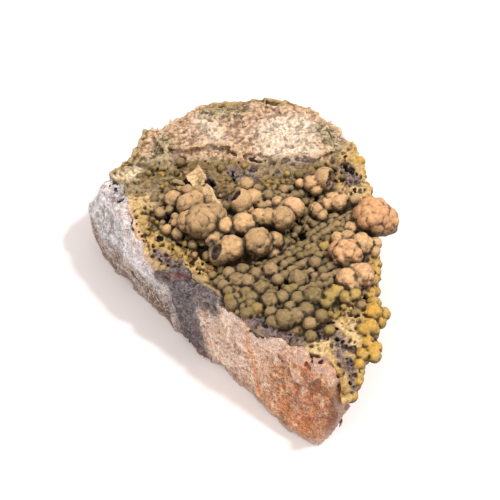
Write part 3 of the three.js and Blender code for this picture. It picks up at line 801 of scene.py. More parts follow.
for centre, radius, faces, mouth_share in BROKEN:
    way = np.array(faces) / np.linalg.norm(faces)
    block = block_around(centre, radius + 2)
    distance = distance_to(centre, block) + 0.12 * middle_noise[block]
    mouth = distance_to(np.array(centre) + way * radius, block) - mouth_share * radius
    mouth = mouth + 0.3 * small_noise[block]
    whole = np.minimum(crust_field[block], distance - radius)
    hollow = np.minimum(distance - (radius - SHELL_WALL), mouth)
    crust_field[block] = np.maximum(whole, -hollow)
    shell_inside[block] = np.minimum(shell_inside[block], distance - radius + 0.45)

SHELL_START, SHELL_END = np.array((-11.9, 21.6, 28.2)), np.array((-4.9, 8.2, 27.3))
SHELL_NORMAL = np.array((-0.42, -0.42, 0.8))
SHELL_GAP = ((-13.4, 19.4, 26.2), (-8.2, 9.4, 25.4), 1.3)
STRIP_HALF = 0.3  # half the thickness of the bent shell, mm
block, gap = rod(*SHELL_GAP)
crust_field[block] = np.maximum(crust_field[block], -(gap + 0.3 * small_noise[block]))
block, _ = rod(SHELL_START, SHELL_END, 3)
long_way = SHELL_END - SHELL_START
shell_length = np.linalg.norm(long_way)
long_way = long_way / shell_length
wide_way = np.cross(SHELL_NORMAL, long_way)
wide_way /= np.linalg.norm(wide_way)
up_way = np.cross(long_way, wide_way)
bx, by, bz = block
away = [X[bx] - SHELL_START[0], Y[:, by] - SHELL_START[1], Z[:, :, bz] - SHELL_START[2]]
ways = (long_way, wide_way, up_way)
run, off, lift = [away[0] * way[0] + away[1] * way[1] + away[2] * way[2] for way in ways]
half_width = 2.6 - 1.3 * run / shell_length + 0.6 * middle_noise[block]
lift = lift - 0.13 * off * off + 0.25 * np.sin(0.5 * run) + 0.12 * small_noise[block]
strip = common_to(np.abs(lift) - STRIP_HALF, np.abs(off) - half_width, -run, run - shell_length)
crust_field[block] = np.minimum(crust_field[block], strip)
shell_inside[block] = np.minimum(shell_inside[block], strip - STRIP_HALF)

# %% [markdown]
# Some deep holes go through the crust: by the right-hand edge, in the boxwork at the front and beside the
# bent shell. They are cut last, as uneven balls. After them the crust's lower limit is cut, which rises
# towards the tip, and what lies in the rock or over bare rock is taken away.

# %% Cut the deep holes
HOLES = [(31, 26.8, 1.6), (32.6, 24.6, 1.3), (21.7, -30.4, 1.1), (24.8, -29.4, 0.9), (-7.2, 19.2, 1.7),
         (-8.6, 16.6, 0.9), (-9.6, -8.6, 1.2), (-20.5, 0.6, 1.1), (27.5, 24.5, 1.1), (28.6, -40.5, 0.9),
         (-14, -3.2, 1.2), (5, 24.4, 1.2), (12, 22.6, 1.0), (-16.5, 22.4, 1.1), (29.5, -37, 1.1)]
top_now = top_heights(crust_field)
for x, y, radius in HOLES:
    centre = (x, y, height_at(top_now, x, y) - 0.4 * radius)
    block = block_around(centre, 2 * radius + 1)
    distance = distance_to(centre, block) - radius + 0.5 * small_noise[block]
    crust_field[block] = np.maximum(crust_field[block], -distance)
CRUST_FOOT, FOOT_RISES = 0.4, 11  # height of the crust's lower limit, and its rise at the tip, mm
CRACK = 0.35  # mm between crust and rock
crust_field = np.minimum(crust_field, lining)
crust_foot = CRUST_FOOT + FOOT_RISES * ramp(-Y, 38, 45) + 0.8 * middle_noise
crust_field = np.maximum(crust_field, crust_foot - Z)
crust_field = common_to(crust_field, -(rock + CRACK), np.maximum(bare, bare_edge) - 0.3)

# %% [markdown]
# A mesh is now drawn where each volume is nought. Loose crumbs that the cuts have freed are left out: points
# that share a face pass the lowest number among them around, until each connected piece has one number. The
# walls of the crack between rock and crust and the flat underside are never seen, so they are kept coarse.


# %% Turn a volume into a mesh
HIDDEN_CELL = 2.2  # mm
BURIED = 0.86
LEAST_POINTS = 3000  # a smaller piece is a crumb
UNDERSIDE, UNDERSIDE_RIM = 1.0, 1.5  # what is lower than this and further in than this is underside, mm
FOOTPRINT_HEIGHT = 6  # mm
footprint = body[:, :, level_at(FOOTPRINT_HEIGHT)][:, :, None]
all_joined = np.minimum(rock, crust_field)
burial = blurred((all_joined < 0.25).astype(np.float32), 0.9)  # 0.5 at the surface, towards 1 inside


def column_sample(mask, points):
    """Values of a volume that is one cube high."""
    index = np.clip(np.rint(points[:, :2]).astype(int), 0, np.array(SHAPE[:2]) - 1)
    return mask[index[:, 0], index[:, 1], 0]


def sample(field, points):
    """Values of a volume at points given in cubes, blended between the eight nearest cubes."""
    index = np.clip(np.floor(points).astype(int), 0, np.array(field.shape) - 2)
    part = (points - index).astype(np.float32)
    total = 0
    for corner in np.ndindex(2, 2, 2):
        weight = np.prod(np.where(np.array(corner), part, 1 - part), axis=1)
        spot = index + np.array(corner)
        total = total + weight * field[spot[:, 0], spot[:, 1], spot[:, 2]]
    return total


def main_pieces(count, faces, least):
    """Which points belong to connected pieces of at least `least` points."""
    label = np.arange(count)
    edges = np.concatenate([faces[:, [0, 1]], faces[:, [1, 2]], faces[:, [2, 3]]])
    while True:
        before = label.copy()
        low = np.minimum(label[edges[:, 0]], label[edges[:, 1]])
        np.minimum.at(label, edges[:, 0], low)
        np.minimum.at(label, edges[:, 1], low)
        label = label[label]
        if (label == before).all():
            break
    sizes = np.bincount(label, minlength=count)
    return sizes[label] >= least


def thinned(points, triangles, hidden, cell):
    """Merge the hidden points that share a cell of the given size, in cubes, and drop what collapses."""
    number = np.arange(len(points))
    cells = np.floor(points[hidden] / cell).astype(np.int64)
    _, first, group = np.unique(cells, axis=0, return_index=True, return_inverse=True)
    spots = np.nonzero(hidden)[0]
    number[spots] = spots[first][group.ravel()]
    triangles = number[triangles]
    a, b, c = triangles.T
    triangles = triangles[(a != b) & (b != c) & (c != a)]
    _, once = np.unique(np.sort(triangles, axis=1), axis=0, return_index=True)
    triangles = triangles[np.sort(once)]
    used = np.zeros(len(points), bool)
    used[triangles] = True
    return points[used], (np.cumsum(used) - 1)[triangles]


def mesh_of(field, name):
    """A mesh object along the zero surface of a volume, and its points in cubes. What lies well inside
    the whole body is never seen, so it is kept coarse."""
    grid = openvdb.FloatGrid(FAR)
    grid.copyFromArray(np.ascontiguousarray(field, np.float32))
    points, quads = grid.convertToQuads(isovalue=0.0)
    quads = quads.astype(np.int64)[:, ::-1]
    kept = main_pieces(len(points), quads, LEAST_POINTS)
    quads = quads[kept[quads[:, 0]]]
    triangles = np.concatenate([quads[:, [0, 1, 2]], quads[:, [0, 2, 3]]])
    height = LOW[2] + points[:, 2] * VOXEL
    underside = (height < UNDERSIDE) & (column_sample(footprint, points) < -UNDERSIDE_RIM)
    hidden = kept & ((sample(burial, points) > BURIED) | underside)
    points, triangles = thinned(points, triangles, hidden, HIDDEN_CELL / VOXEL)
    mesh = bpy.data.meshes.new(name)
    mesh.vertices.add(len(points))
    mesh.vertices.foreach_set("co", ((LOW + points * VOXEL) * MM).astype(np.float32).ravel())
    mesh.loops.add(triangles.size)
    mesh.loops.foreach_set("vertex_index", triangles.astype(np.int32).ravel())
    mesh.polygons.add(len(triangles))
    mesh.polygons.foreach_set("loop_start", np.arange(0, triangles.size, 3, dtype=np.int32))
    mesh.update(calc_edges=True)
    mesh.validate()
    mesh.polygons.foreach_set("use_smooth", np.ones(len(mesh.polygons), bool))
    obj = bpy.data.objects.new(name, mesh)
    bpy.context.scene.collection.objects.link(obj)
    print(name, len(points), "points", len(triangles), "triangles")
    return obj, points


def keep_value(obj, name, values):
    """Store one number per point, for the materials to read."""
    store = obj.data.attributes.new(name, "FLOAT", "POINT")
    store.data.foreach_set("value", np.asarray(values, np.float32))


# %% [markdown]
# The crust is one growth, but as one mesh it would be unwieldy, so it is parted in three where cracks and
# shadows hide the seam: behind the rough belt, and along the foot of the shelf that carries the cluster.

# %% Draw the meshes
BELT_SEAM = [(-60, 20.5), (-20, 20.5), (0, 19.8), (18, 20.2), (60, 22)]
SHELF_SEAM = [(-60, -14), (-6, -9.6), (0, -8.6), (6, -7.4), (10, -5.7), (13, -3.4), (16, 1), (19, 6),
              (22, 11), (25, 14.5), (30, 16), (60, 18)]


def seam_along(line):
    """How far each column lies behind a seam, mm."""
    xs, ys = zip(*line)
    return (along - np.interp(AXES[0], xs, ys)[:, None])[:, :, None].astype(np.float32)


behind_belt = seam_along(BELT_SEAM) + 0.4 * middle_noise
behind_shelf = seam_along(SHELF_SEAM) + 0.3 * small_noise
parts = {
    "plateau_crust": np.maximum(crust_field, -behind_belt),
    "cluster_crust": common_to(crust_field, behind_belt, -behind_shelf),
    "hollow_crust": np.maximum(crust_field, behind_shelf),
}
rock_piece, rock_points = mesh_of(rock, "granular_host_rock")
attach(rock_piece, "root")
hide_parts("matrix_rock")
crust_pieces = []
for name, part in parts.items():
    piece, points = mesh_of(part, name)
    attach(piece, "root")
    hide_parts("mottramite_crust")
    crust_pieces.append((piece, points))

# %% [markdown]
# The materials have to know what a point lies on. Numbers worked out from the volumes say so: whether it is
# on a spheroid and on which, how deep it sits in a cell, whether it is on the plateau or in a mossy patch,
# and whether the surface around it is hollow or raised: hollows get painted shade and raised parts are
# rubbed paler.

# %% Store what the crust's points lie on
around = blurred((all_joined < 0).astype(np.float32), 2.3)  # how much of the room around a point is filled
wide_form = blurred(crust_field, 1.3)
near_form = blurred(crust_field, 0.55)
CREAM = [((12, 36), (18, 38), 6.5), ((8, 29.5), (21, 29.5), 2.5), ((-10, 42), (-6, 36), 2.5)]
GREEN = [((-8, 45.5), (0, 46), 3.4), ((-21, 33), (-22, 27), 3.2), ((29, 33), (25, 38), 3.2),
         ((31, 22), (30, 31), 2.4), ((-14, 27), (-4, 27), 1.6)]
YELLOW = [((-32, 19), (-22, 25), 4.5), ((-30, 12), (-24, 16), 4), ((0, 22), (16, 24), 2),
          ((28, -33), (22, -35), 5), ((30, 15), (35, 20), 3)]
RIM = [((-38, 21), (-30.5, 9), 1.7), ((-30.5, 9), (-26, -3), 1.7), ((-26, -3), (-23, -10), 1.5)]
# A dark red-brown band on the face under the crust's torn edge: its red is its own, its darkness partly
# painted shade of that face.
RED_BAND_AND_SHADE = [((-23.4, -8.6), (-18, -10.2), 1.4), ((-18, -10.2), (-11.5, -11), 1.3)]
DUSKY = [((-3, -22), (9, -31), 2.0), ((9, -31), (17, -34.5), 2.2), ((-1, 23.5), (5, 20.5), 1.8),
         ((-8, 20.5), (-6.5, 17.5), 1.4), ((31, 26), (33, 20), 2.2), ((24, -31), (27, -36), 1.8),
         ((-23, 8), (-21, 4), 1.2), ((-21, -4.5), (-15, -6.5), 1.6), ((9, 28.5), (20, 27), 1.2),
         ((34, -8), (35, -20), 1.2), ((28, -40), (30, -46), 1.5), ((19, -32), (24, -33), 1.6),
         ((-6, -19), (-1, -24), 1.6), ((26, -38), (28, -41), 1.4)]
marks = {"hollow": hollow_area, "belt": rough_belt, "plateau": plateau, "boxwork": boxwork,
         "slab": ramp(bare, -1.5, 0.5)}
for name, strokes, soft in [
        ("dusky", DUSKY, 1.0), ("rim", RIM, 1.2), ("red", RED_BAND_AND_SHADE, 1.0), ("moss", MOSS, 1.0),
        ("cream", CREAM, 3.0), ("green", GREEN, 2.0), ("yellow", YELLOW, 2.5)]:
    marks[name] = area_mask(strokes, soft)


def nearest_sample(field, points):
    """The nearest cube's value, for numbers that mustn't be blended."""
    index = np.clip(np.rint(points).astype(int), 0, np.array(SHAPE) - 1)
    return field[index[:, 0], index[:, 1], index[:, 2]]


uncut_whole = np.minimum(uncut, ball_field)
# The inside of each broken shell counts as a deep pit here, so that the material paints it dark as painted
# shade.
for centre, radius, faces, _ in BROKEN:  # the far side of a hollow shell is dark as well
    block = block_around(centre, radius)
    mouth_middle = np.array(centre) + radius * np.array(faces) / np.linalg.norm(faces)
    depth_in_shell = np.maximum(1.1 * radius - distance_to(mouth_middle, block),
                                distance_to(centre, block) - radius + 0.5)
    uncut_whole[block] = np.minimum(uncut_whole[block], depth_in_shell)
for piece, points in crust_pieces:
    keep_value(piece, "spheroid", ramp(-sample(ball_field, points), -0.4, -0.05))
    keep_value(piece, "tone", nearest_sample(ball_tone, points))
    keep_value(piece, "rise", nearest_sample(ball_rise, points))
    keep_value(piece, "pit", ramp(-sample(uncut_whole, points), 0.3, 0.9))
    keep_value(piece, "shell", ramp(-sample(shell_inside, points), 0.0, 0.25))
    keep_value(piece, "crease", ramp(-sample(wide_form, points), -0.14, 0.24))
    keep_value(piece, "fine_crease", ramp(-sample(near_form, points), 0.0, 0.1))
    keep_value(piece, "fine_crest", ramp(sample(near_form, points), 0.03, 0.2))
    # sunk: how much of the room around a point is filled, which the material turns into painted shade.
    keep_value(piece, "sunk", ramp(sample(around, points), 0.54, 0.72))
    for name, mask in marks.items():
        keep_value(piece, name, column_sample(mask, points))

high_enough = ramp(rock_points[:, 2], 45, 60)  # layers of cubes near the upper face
for name in ("rim", "red", "slab"):
    keep_value(rock_piece, name, column_sample(marks[name], rock_points) * high_enough)
rock_wide = blurred(rock, 1.1)
keep_value(rock_piece, "crease", ramp(-sample(rock_wide, rock_points), 0.0, 0.45))
keep_value(rock_piece, "crest", ramp(sample(rock_wide, rock_points), 0.0, 0.45))

# %% [markdown]
# Materials are built from small node groups that the rock and the crust share. A helper adds a node, sets
# its plain values and links the sockets that are given to it, so that a material reads from top to bottom.


# %% Helpers for nodes
def put(tree, kind, values=(), **settings):
    """Add a node. Values go by input name or number, and are plain values or other nodes' outputs."""
    made = tree.nodes.new(kind)
    for key, value in settings.items():
        setattr(made, key, value)
    for key, value in dict(values).items():
        if isinstance(value, bpy.types.NodeSocket):
            tree.links.new(value, made.inputs[key])
        else:
            made.inputs[key].default_value = value
    return made


def step_of(operation):
    """A function that adds one step of arithmetic on two values."""
    return lambda tree, a, b: put(tree, "ShaderNodeMath", {0: a, 1: b}, operation=operation).outputs[0]


plus, minus, times, larger = [step_of(kind) for kind in ("ADD", "SUBTRACT", "MULTIPLY", "MAXIMUM")]


def mixed(tree, share, a, b):
    """Two colours, mixed by a share from 0 to 1."""
    return put(tree, "ShaderNodeMix", {0: share, 6: a, 7: b}, data_type="RGBA").outputs[2]


def laid(tree, color, mask, strength, paint):
    """A paint laid over a colour where a mask says, and no stronger than a share from 0 to 1."""
    return mixed(tree, times(tree, mask, strength), color, paint)


def scaled_by(tree, vector, factor):
    """A colour or a place, times a number."""
    return put(tree, "ShaderNodeVectorMath", {0: vector, "Scale": factor}, operation="SCALE").outputs[0]


def run_along(tree, place, way):
    """How far a place lies along a direction."""
    return put(tree, "ShaderNodeVectorMath", {0: place, 1: way}, operation="DOT_PRODUCT").outputs["Value"]


def noise_at(tree, place, scale, detail, roughness=0.5):
    """Plain noise with features of about 1 / scale mm."""
    values = {"Vector": place, "Scale": scale, "Detail": detail, "Roughness": roughness}
    return put(tree, "ShaderNodeTexNoise", values).outputs[0]


def eased(tree, value, low, high):
    """0 at low, 1 at high, smooth in between and flat beyond; low may be the larger number."""
    steps = {"Value": value, "From Min": low, "From Max": high}
    return put(tree, "ShaderNodeMapRange", steps, interpolation_type="SMOOTHSTEP").outputs["Result"]


def stored(tree, name):
    """A number that the mesh keeps at each point."""
    return put(tree, "ShaderNodeAttribute", attribute_name=name, attribute_type="GEOMETRY").outputs["Fac"]


def tint(red, green, blue):
    """A colour as read off a screen, 0 to 255, in the linear values that shaders work with."""
    shares = [channel / 255 for channel in (red, green, blue)]
    return (*[c / 12.92 if c <= 0.04045 else ((c + 0.055) / 1.055) ** 2.4 for c in shares], 1.0)


def new_group(name, inputs, outputs):
    """A node group with its sockets, each a name, a kind and, for inputs, a usual value."""
    group = bpy.data.node_groups.new(name, "ShaderNodeTree")
    for label, kind, usual in inputs:
        socket = group.interface.new_socket(label, in_out="INPUT", socket_type="NodeSocket" + kind)
        socket.default_value = usual
    for label, kind in outputs:
        group.interface.new_socket(label, in_out="OUTPUT", socket_type="NodeSocket" + kind)
    return group, group.nodes.new("NodeGroupInput").outputs, group.nodes.new("NodeGroupOutput")


def grouped(tree, group, **values):
    """Place a node group and give back its outputs. Underscores in the names stand for spaces."""
    values = {name.replace("_", " ").title(): value for name, value in values.items()}
    return put(tree, "ShaderNodeGroup", values, node_tree=group).outputs


def in_millimetres(tree):
    """The place of a point on the object, in mm."""
    place = put(tree, "ShaderNodeTexCoord").outputs["Object"]
    return scaled_by(tree, place, 1 / MM)


# %% [markdown]
# Rock and crust are both made of grains, and a grain is a patch of one colour with a slightly raised middle.
# A Voronoi texture gives each grain a random number; those above a threshold count as the pale, dark or
# glassy ones. The place is bent by noise first, so that the grains aren't round.

# %% Node group: grains
grains, given, result = new_group(
    "grains",
    [("Size", "Float", 0.6), ("Share", "Float", 0.3), ("Seed", "Float", 0.0)],
    [("Mask", "Float"), ("Shade", "Float"), ("Relief", "Float")])
place = in_millimetres(grains)
scaled = put(grains, "ShaderNodeVectorMath", {0: place, 1: given["Size"]}, operation="DIVIDE").outputs[0]
noise = put(grains, "ShaderNodeTexNoise", {"Vector": scaled, "Scale": 0.9, "Detail": 2.0}).outputs["Color"]
noise = scaled_by(grains, noise, 0.3)
bend = put(grains, "ShaderNodeVectorMath", {0: noise, 1: given["Seed"]}, operation="ADD").outputs[0]
bent = put(grains, "ShaderNodeVectorMath", {0: scaled, 1: bend}, operation="ADD").outputs[0]
voronoi = put(grains, "ShaderNodeTexVoronoi", {"Vector": bent, "Scale": 1.0})
random_shares = put(grains, "ShaderNodeSeparateColor", {0: voronoi.outputs["Color"]}).outputs
threshold = minus(grains, 1.0, given["Share"])
above = minus(grains, random_shares[0], threshold)
grains.links.new(eased(grains, above, -0.03, 0.05), result.inputs["Mask"])
grains.links.new(random_shares[1], result.inputs["Shade"])
grains.links.new(eased(grains, voronoi.outputs["Distance"], 0.75, 0.1), result.inputs["Relief"])

# %% [markdown]
# Nothing on the specimen has one even colour. Blotches are plain noise with a size in mm and a contrast, and
# every mix of two tones below is driven by one of them.

# %% Node group: blotches
blotches, given, result = new_group(
    "blotches",
    [("Size", "Float", 3.0), ("Balance", "Float", 0.5), ("Softness", "Float", 0.12), ("Seed", "Float", 0.0)],
    [("Mask", "Float")])
place = in_millimetres(blotches)
scaled = put(blotches, "ShaderNodeVectorMath", {0: place, 1: given["Size"]}, operation="DIVIDE").outputs[0]
noise = put(
    blotches, "ShaderNodeTexNoise",
    {"Vector": scaled, "W": given["Seed"], "Scale": 1.0, "Detail": 5.0, "Roughness": 0.62},
    noise_dimensions="4D").outputs[0]
low = minus(blotches, given["Balance"], given["Softness"])
high = plus(blotches, given["Balance"], given["Softness"])
blotches.links.new(eased(blotches, noise, low, high), result.inputs["Mask"])

# %% [markdown]
# Hollows get painted shade and the raised parts are rubbed paler. Both finishes need that, so one group
# darkens a colour by the crease value of the mesh, as painted shade, and lightens it by the crest value.

# %% Node group: crease shade and wear
crease_shade_and_wear, given, result = new_group(
    "crease_shade_and_wear",
    [("Color", "Color", (0.5, 0.5, 0.5, 1)), ("Dark", "Color", (0.1, 0.1, 0.1, 1)),
     ("Pale", "Color", (0.8, 0.8, 0.8, 1)), ("Crease", "Float", 0.0), ("Crest", "Float", 0.0)],
    [("Color", "Color")])
# Painted shade: the colour darkens towards Dark in creases. Crests are rubbed paler towards Pale.
crease_shaded = mixed(crease_shade_and_wear, given["Crease"], given["Color"], given["Dark"])
rubbed = mixed(crease_shade_and_wear, given["Crest"], crease_shaded, given["Pale"])
crease_shade_and_wear.links.new(rubbed, result.inputs["Color"])

# %% [markdown]
# The host rock is a granular quartz rock that changes along its broken front: grey and white at the left
# end, a dark slab behind a pale ridge, pink in the middle and rust orange at the tip. The zones are bands
# along the front, measured from the left corner, with ragged limits. Over them lie pale, dark and rusty
# grains, and some of the pale ones are glassy, which gives the small glints. The grey low on the left end is
# partly painted shade, the rock is darkened towards the floor and in its creases as painted shade, and the
# dark red band under the crust's edge is partly painted shade too.

# %% Material: host rock
ALONG_FRONT = (0.67, -0.745, 0.0)
RIGHT_OF_TIP = (0.9, -0.43, 0.0)
LEFT_CORNER = (-41.0, 20.0, 0.0)
# Where each zone starts and ends, mm from the left corner; a third number is how soft its limits are.
PINK, RUST, NEAR_TIP = (46.0, 56.0), (64.0, 84.0), (74.0, 90.0)
RIDGE, DARK_SLAB, ORANGE_VEIN = (41.5, 45.5, 1.0), (45.5, 57.0, 1.4), (75.5, 78.0, 1.2)


def band(tree, value, start, end, soft):
    """A share that rises at start and falls again at end."""
    rise = eased(tree, value, start - soft, start + soft)
    fall = eased(tree, value, end + soft, end - soft)
    return times(tree, rise, fall)


rock_paint = bpy.data.materials.new("host_rock")
rock_paint.use_nodes = True
tree = rock_paint.node_tree
shader = tree.nodes["Principled BSDF"]
place = in_millimetres(tree)
height = put(tree, "ShaderNodeSeparateXYZ", {0: place}).outputs["Z"]
from_corner = put(tree, "ShaderNodeVectorMath", {0: place, 1: LEFT_CORNER}, operation="SUBTRACT").outputs[0]
run = run_along(tree, from_corner, ALONG_FRONT)
big_noise = noise_at(tree, place, scale=0.13, detail=4.0)
ragged_run = plus(tree, run, times(tree, minus(tree, big_noise, 0.5), 22.0))
on_front = eased(tree, run_along(tree, place, (*OUTWARD, 0.0)), 6.0, 13.0)

wide = grouped(tree, blotches, size=7.0, seed=1.0)["Mask"]
small = grouped(tree, blotches, size=1.7, softness=0.14, seed=2.0)["Mask"]
# Higher up the stone is white, lower down brownish grey; the grey is partly the rock's own colour and partly
# painted shade of the undercut lower face.
high_up = eased(tree, plus(tree, height, times(tree, big_noise, 6.0)), 12.0, 20.0)
white = mixed(tree, small, tint(222, 223, 229), tint(255, 255, 255))
grey = mixed(tree, small, tint(88, 68, 56), tint(152, 124, 106))
stone = mixed(tree, high_up, grey, white)
stone = laid(tree, stone, wide, 0.24, tint(120, 110, 112))
smudge = grouped(tree, blotches, size=2.8, balance=0.56, softness=0.06, seed=11.0)["Mask"]
stone = laid(tree, stone, smudge, 0.5, tint(112, 98, 98))
pink = mixed(tree, small, tint(222, 180, 150), tint(255, 232, 208))
pink = laid(tree, pink, wide, 0.35, tint(196, 160, 140))
rust = mixed(tree, small, tint(200, 126, 64), tint(246, 206, 150))
near_tip = eased(tree, ragged_run, *NEAR_TIP)
orange_share = plus(tree, 0.3, times(tree, near_tip, 0.45))
rust = laid(tree, rust, wide, orange_share, tint(206, 100, 28))
umber = grouped(tree, blotches, size=3.6, balance=0.54, softness=0.06, seed=17.0)["Mask"]
umber_share = plus(tree, 0.25, times(tree, near_tip, 0.45))
rust = laid(tree, rust, umber, umber_share, tint(136, 80, 46))
bleached = grouped(tree, blotches, size=4.6, balance=0.52, softness=0.08, seed=19.0)["Mask"]
bleached_share = minus(tree, 0.75, times(tree, near_tip, 0.45))
rust = laid(tree, rust, bleached, bleached_share, tint(240, 216, 184))
slab = mixed(tree, small, tint(60, 55, 58), tint(124, 116, 118))

is_pink = eased(tree, ragged_run, *PINK)
is_rust = eased(tree, ragged_run, *RUST)
ridge_place = plus(tree, run, times(tree, height, 0.4))
is_ridge = times(tree, band(tree, ridge_place, *RIDGE), on_front)
is_slab = times(tree, band(tree, ridge_place, *DARK_SLAB), on_front)
vein_place = plus(tree, run, times(tree, height, 0.5))
is_vein = times(tree, band(tree, vein_place, *ORANGE_VEIN), on_front)

color = mixed(tree, is_pink, stone, pink)
color = laid(tree, color, is_slab, 0.9, slab)
color = laid(tree, color, is_ridge, 0.5, tint(196, 188, 186))
bared_slab = stored(tree, "slab")
color = laid(tree, color, bared_slab, 0.9, slab)
color = mixed(tree, is_rust, color, rust)
color = laid(tree, color, is_vein, 0.6, tint(240, 152, 60))

pale_grains = grouped(tree, grains, size=0.42, share=0.28, seed=3.0)
dark_grains = grouped(tree, grains, size=0.42, share=0.24, seed=8.0)
rusty_share = plus(tree, times(tree, is_pink, 0.1), times(tree, is_rust, 0.3))
rusty_share = plus(tree, rusty_share, times(tree, stored(tree, "rim"), 0.22))
rusty_grains = grouped(tree, grains, size=0.5, share=rusty_share, seed=14.0)
color = laid(tree, color, rusty_grains["Mask"], 0.6, tint(192, 92, 34))
color = laid(tree, color, dark_grains["Mask"], 0.4, tint(86, 64, 56))
not_slab = minus(tree, 1.0, larger(tree, bared_slab, is_slab))
pale_share = times(tree, plus(tree, 0.12, times(tree, not_slab, 0.28)),
                   minus(tree, 1.0, times(tree, is_rust, 0.5)))
color = laid(tree, color, pale_grains["Mask"], pale_share, tint(255, 246, 236))
# Painted shade: the colour is darkened towards the bottom of the rock, where it is undercut near the floor.
painted_shade_near_floor = eased(tree, plus(tree, height, times(tree, big_noise, 5.0)), 6.5, 3.2)
color = laid(tree, color, painted_shade_near_floor, 0.55, tint(112, 74, 56))
# The dark red band: reddish colour, darkened partly as painted shade.
red_and_shade_share = times(tree, stored(tree, "red"), plus(tree, 0.3, times(tree, smudge, 0.55)))
color = mixed(tree, red_and_shade_share, color, mixed(tree, small, tint(58, 28, 22), tint(132, 70, 54)))
behind_tip = eased(tree, run_along(tree, place, RIGHT_OF_TIP), 40.5, 43.5)
color = laid(tree, color, behind_tip, 0.75, tint(104, 58, 26))
grit = grouped(tree, blotches, size=1.1, softness=0.06, seed=23.0)["Mask"]
color = scaled_by(tree, color, plus(tree, 0.78, times(tree, grit, 0.36)))
# Painted shade in the rock's creases; the crests are rubbed paler.
painted_crease_shade = times(tree, stored(tree, "crease"), 0.55)
crested = times(tree, stored(tree, "crest"), times(tree, not_slab, 0.26))
shaded_and_worn = put(tree, "ShaderNodeGroup",
           {"Color": color, "Dark": tint(96, 68, 56), "Pale": tint(252, 240, 230), "Crease": painted_crease_shade,
            "Crest": crested}, node_tree=crease_shade_and_wear)
tree.links.new(shaded_and_worn.outputs["Color"], shader.inputs["Base Color"])
glassy = times(tree, pale_grains["Mask"], pale_grains["Shade"])
tree.links.new(minus(tree, 0.85, times(tree, glassy, 0.45)), shader.inputs["Roughness"])
relief = plus(tree, pale_grains["Relief"], times(tree, dark_grains["Relief"], 0.6))
rough = noise_at(tree, place, scale=2.6, detail=6.0, roughness=0.7)
relief = plus(tree, relief, times(tree, rough, 1.6))
bump = put(tree, "ShaderNodeBump", {"Height": relief, "Strength": 0.9, "Distance": 0.00022})
tree.links.new(bump.outputs["Normal"], shader.inputs["Normal"])
shader.inputs["Specular IOR Level"].default_value = 0.4
rock_piece.data.materials.append(rock_paint)

# %% [markdown]
# The crust has three faces. Its spheroids are olive to brown, and each has a tone of its own; the giant and
# the warty ones are pinkish tan. Each spheroid is made paler towards its top, as painted light, and darker and
# ochre below, as painted shade. Its boxwork is a cream and yellow lattice around purplish black cells, and
# deep holes and broken shells get the same dark colour as painted shade. The plateau at the back is sandy,
# pink, cream and green. Each colour is laid over the one before it where the mesh's numbers say; hollows and
# gaps are darkened last, as painted shade. All of the crust is dull and faintly velvety, which plain sheen on
# the shader gives.

# %% Material: mottramite crust
crust_paint = bpy.data.materials.new("mottramite")
crust_paint.use_nodes = True
tree = crust_paint.node_tree
shader = tree.nodes["Principled BSDF"]
place = in_millimetres(tree)

tiny = grouped(tree, blotches, size=0.8, softness=0.1, seed=4.0)["Mask"]
small = grouped(tree, blotches, size=1.4, softness=0.1, seed=5.0)["Mask"]
middling = grouped(tree, blotches, size=3.2, softness=0.1, seed=6.0)["Mask"]
sandy = grouped(tree, grains, size=0.55, share=0.3, seed=21.0)
dark_specks = grouped(tree, grains, size=0.6, share=0.22, seed=27.0)
on_plateau = stored(tree, "plateau")
in_belt = stored(tree, "belt")
on_ball = stored(tree, "spheroid")
in_boxwork = stored(tree, "boxwork")
is_yellow = stored(tree, "yellow")
is_dusky = stored(tree, "dusky")

ground = mixed(tree, small, tint(112, 90, 48), tint(178, 148, 88))
ground = laid(tree, ground, middling, 0.5, tint(140, 106, 76))
yellow = mixed(tree, tiny, tint(214, 190, 138), tint(255, 248, 222))
ground = mixed(tree, is_yellow, ground, yellow)
moss_color = mixed(tree, small, tint(84, 82, 32), tint(156, 142, 68))
ground = laid(tree, ground, stored(tree, "moss"), 0.7, moss_color)
belt_color = mixed(tree, small, tint(58, 43, 36), tint(156, 120, 82))
belt_color = laid(tree, belt_color, middling, 0.6, tint(118, 104, 44))
ground = laid(tree, ground, in_belt, 0.8, belt_color)
# The ground between the spheroids of the hollow is dark olive, partly as painted shade of the gaps.
gap_ground_with_shade = mixed(tree, small, tint(52, 42, 22), tint(98, 82, 40))
ground = laid(tree, ground, stored(tree, "hollow"), 0.85, gap_ground_with_shade)
lattice = mixed(tree, tiny, tint(168, 132, 72), tint(216, 182, 112))
ground = laid(tree, ground, in_boxwork, 0.75, lattice)
dusk = mixed(tree, tiny, tint(44, 36, 44), tint(128, 111, 118))
ground = laid(tree, ground, is_dusky, 0.9, dusk)
ground = laid(tree, ground, dark_specks["Mask"], 0.45, tint(70, 56, 54))

pinkish = mixed(tree, small, tint(142, 104, 80), tint(218, 184, 158))
pinkish = laid(tree, pinkish, middling, 0.5, tint(186, 146, 96))
cream = mixed(tree, tiny, tint(206, 182, 152), tint(246, 232, 214))
flat_color = mixed(tree, stored(tree, "cream"), pinkish, cream)
green = mixed(tree, tiny, tint(72, 68, 40), tint(130, 118, 78))
flat_color = laid(tree, flat_color, stored(tree, "green"), 0.9, green)
flat_color = laid(tree, flat_color, sandy["Mask"], 0.4, tint(250, 232, 200))
flat_color = laid(tree, flat_color, dark_specks["Mask"], 0.45, tint(116, 78, 56))
ground = mixed(tree, on_plateau, ground, flat_color)

rim_color = mixed(tree, tiny, tint(186, 150, 132), tint(240, 220, 204))
rim_color = laid(tree, rim_color, sandy["Mask"], 0.8, tint(176, 82, 44))
ground = mixed(tree, stored(tree, "rim"), ground, rim_color)
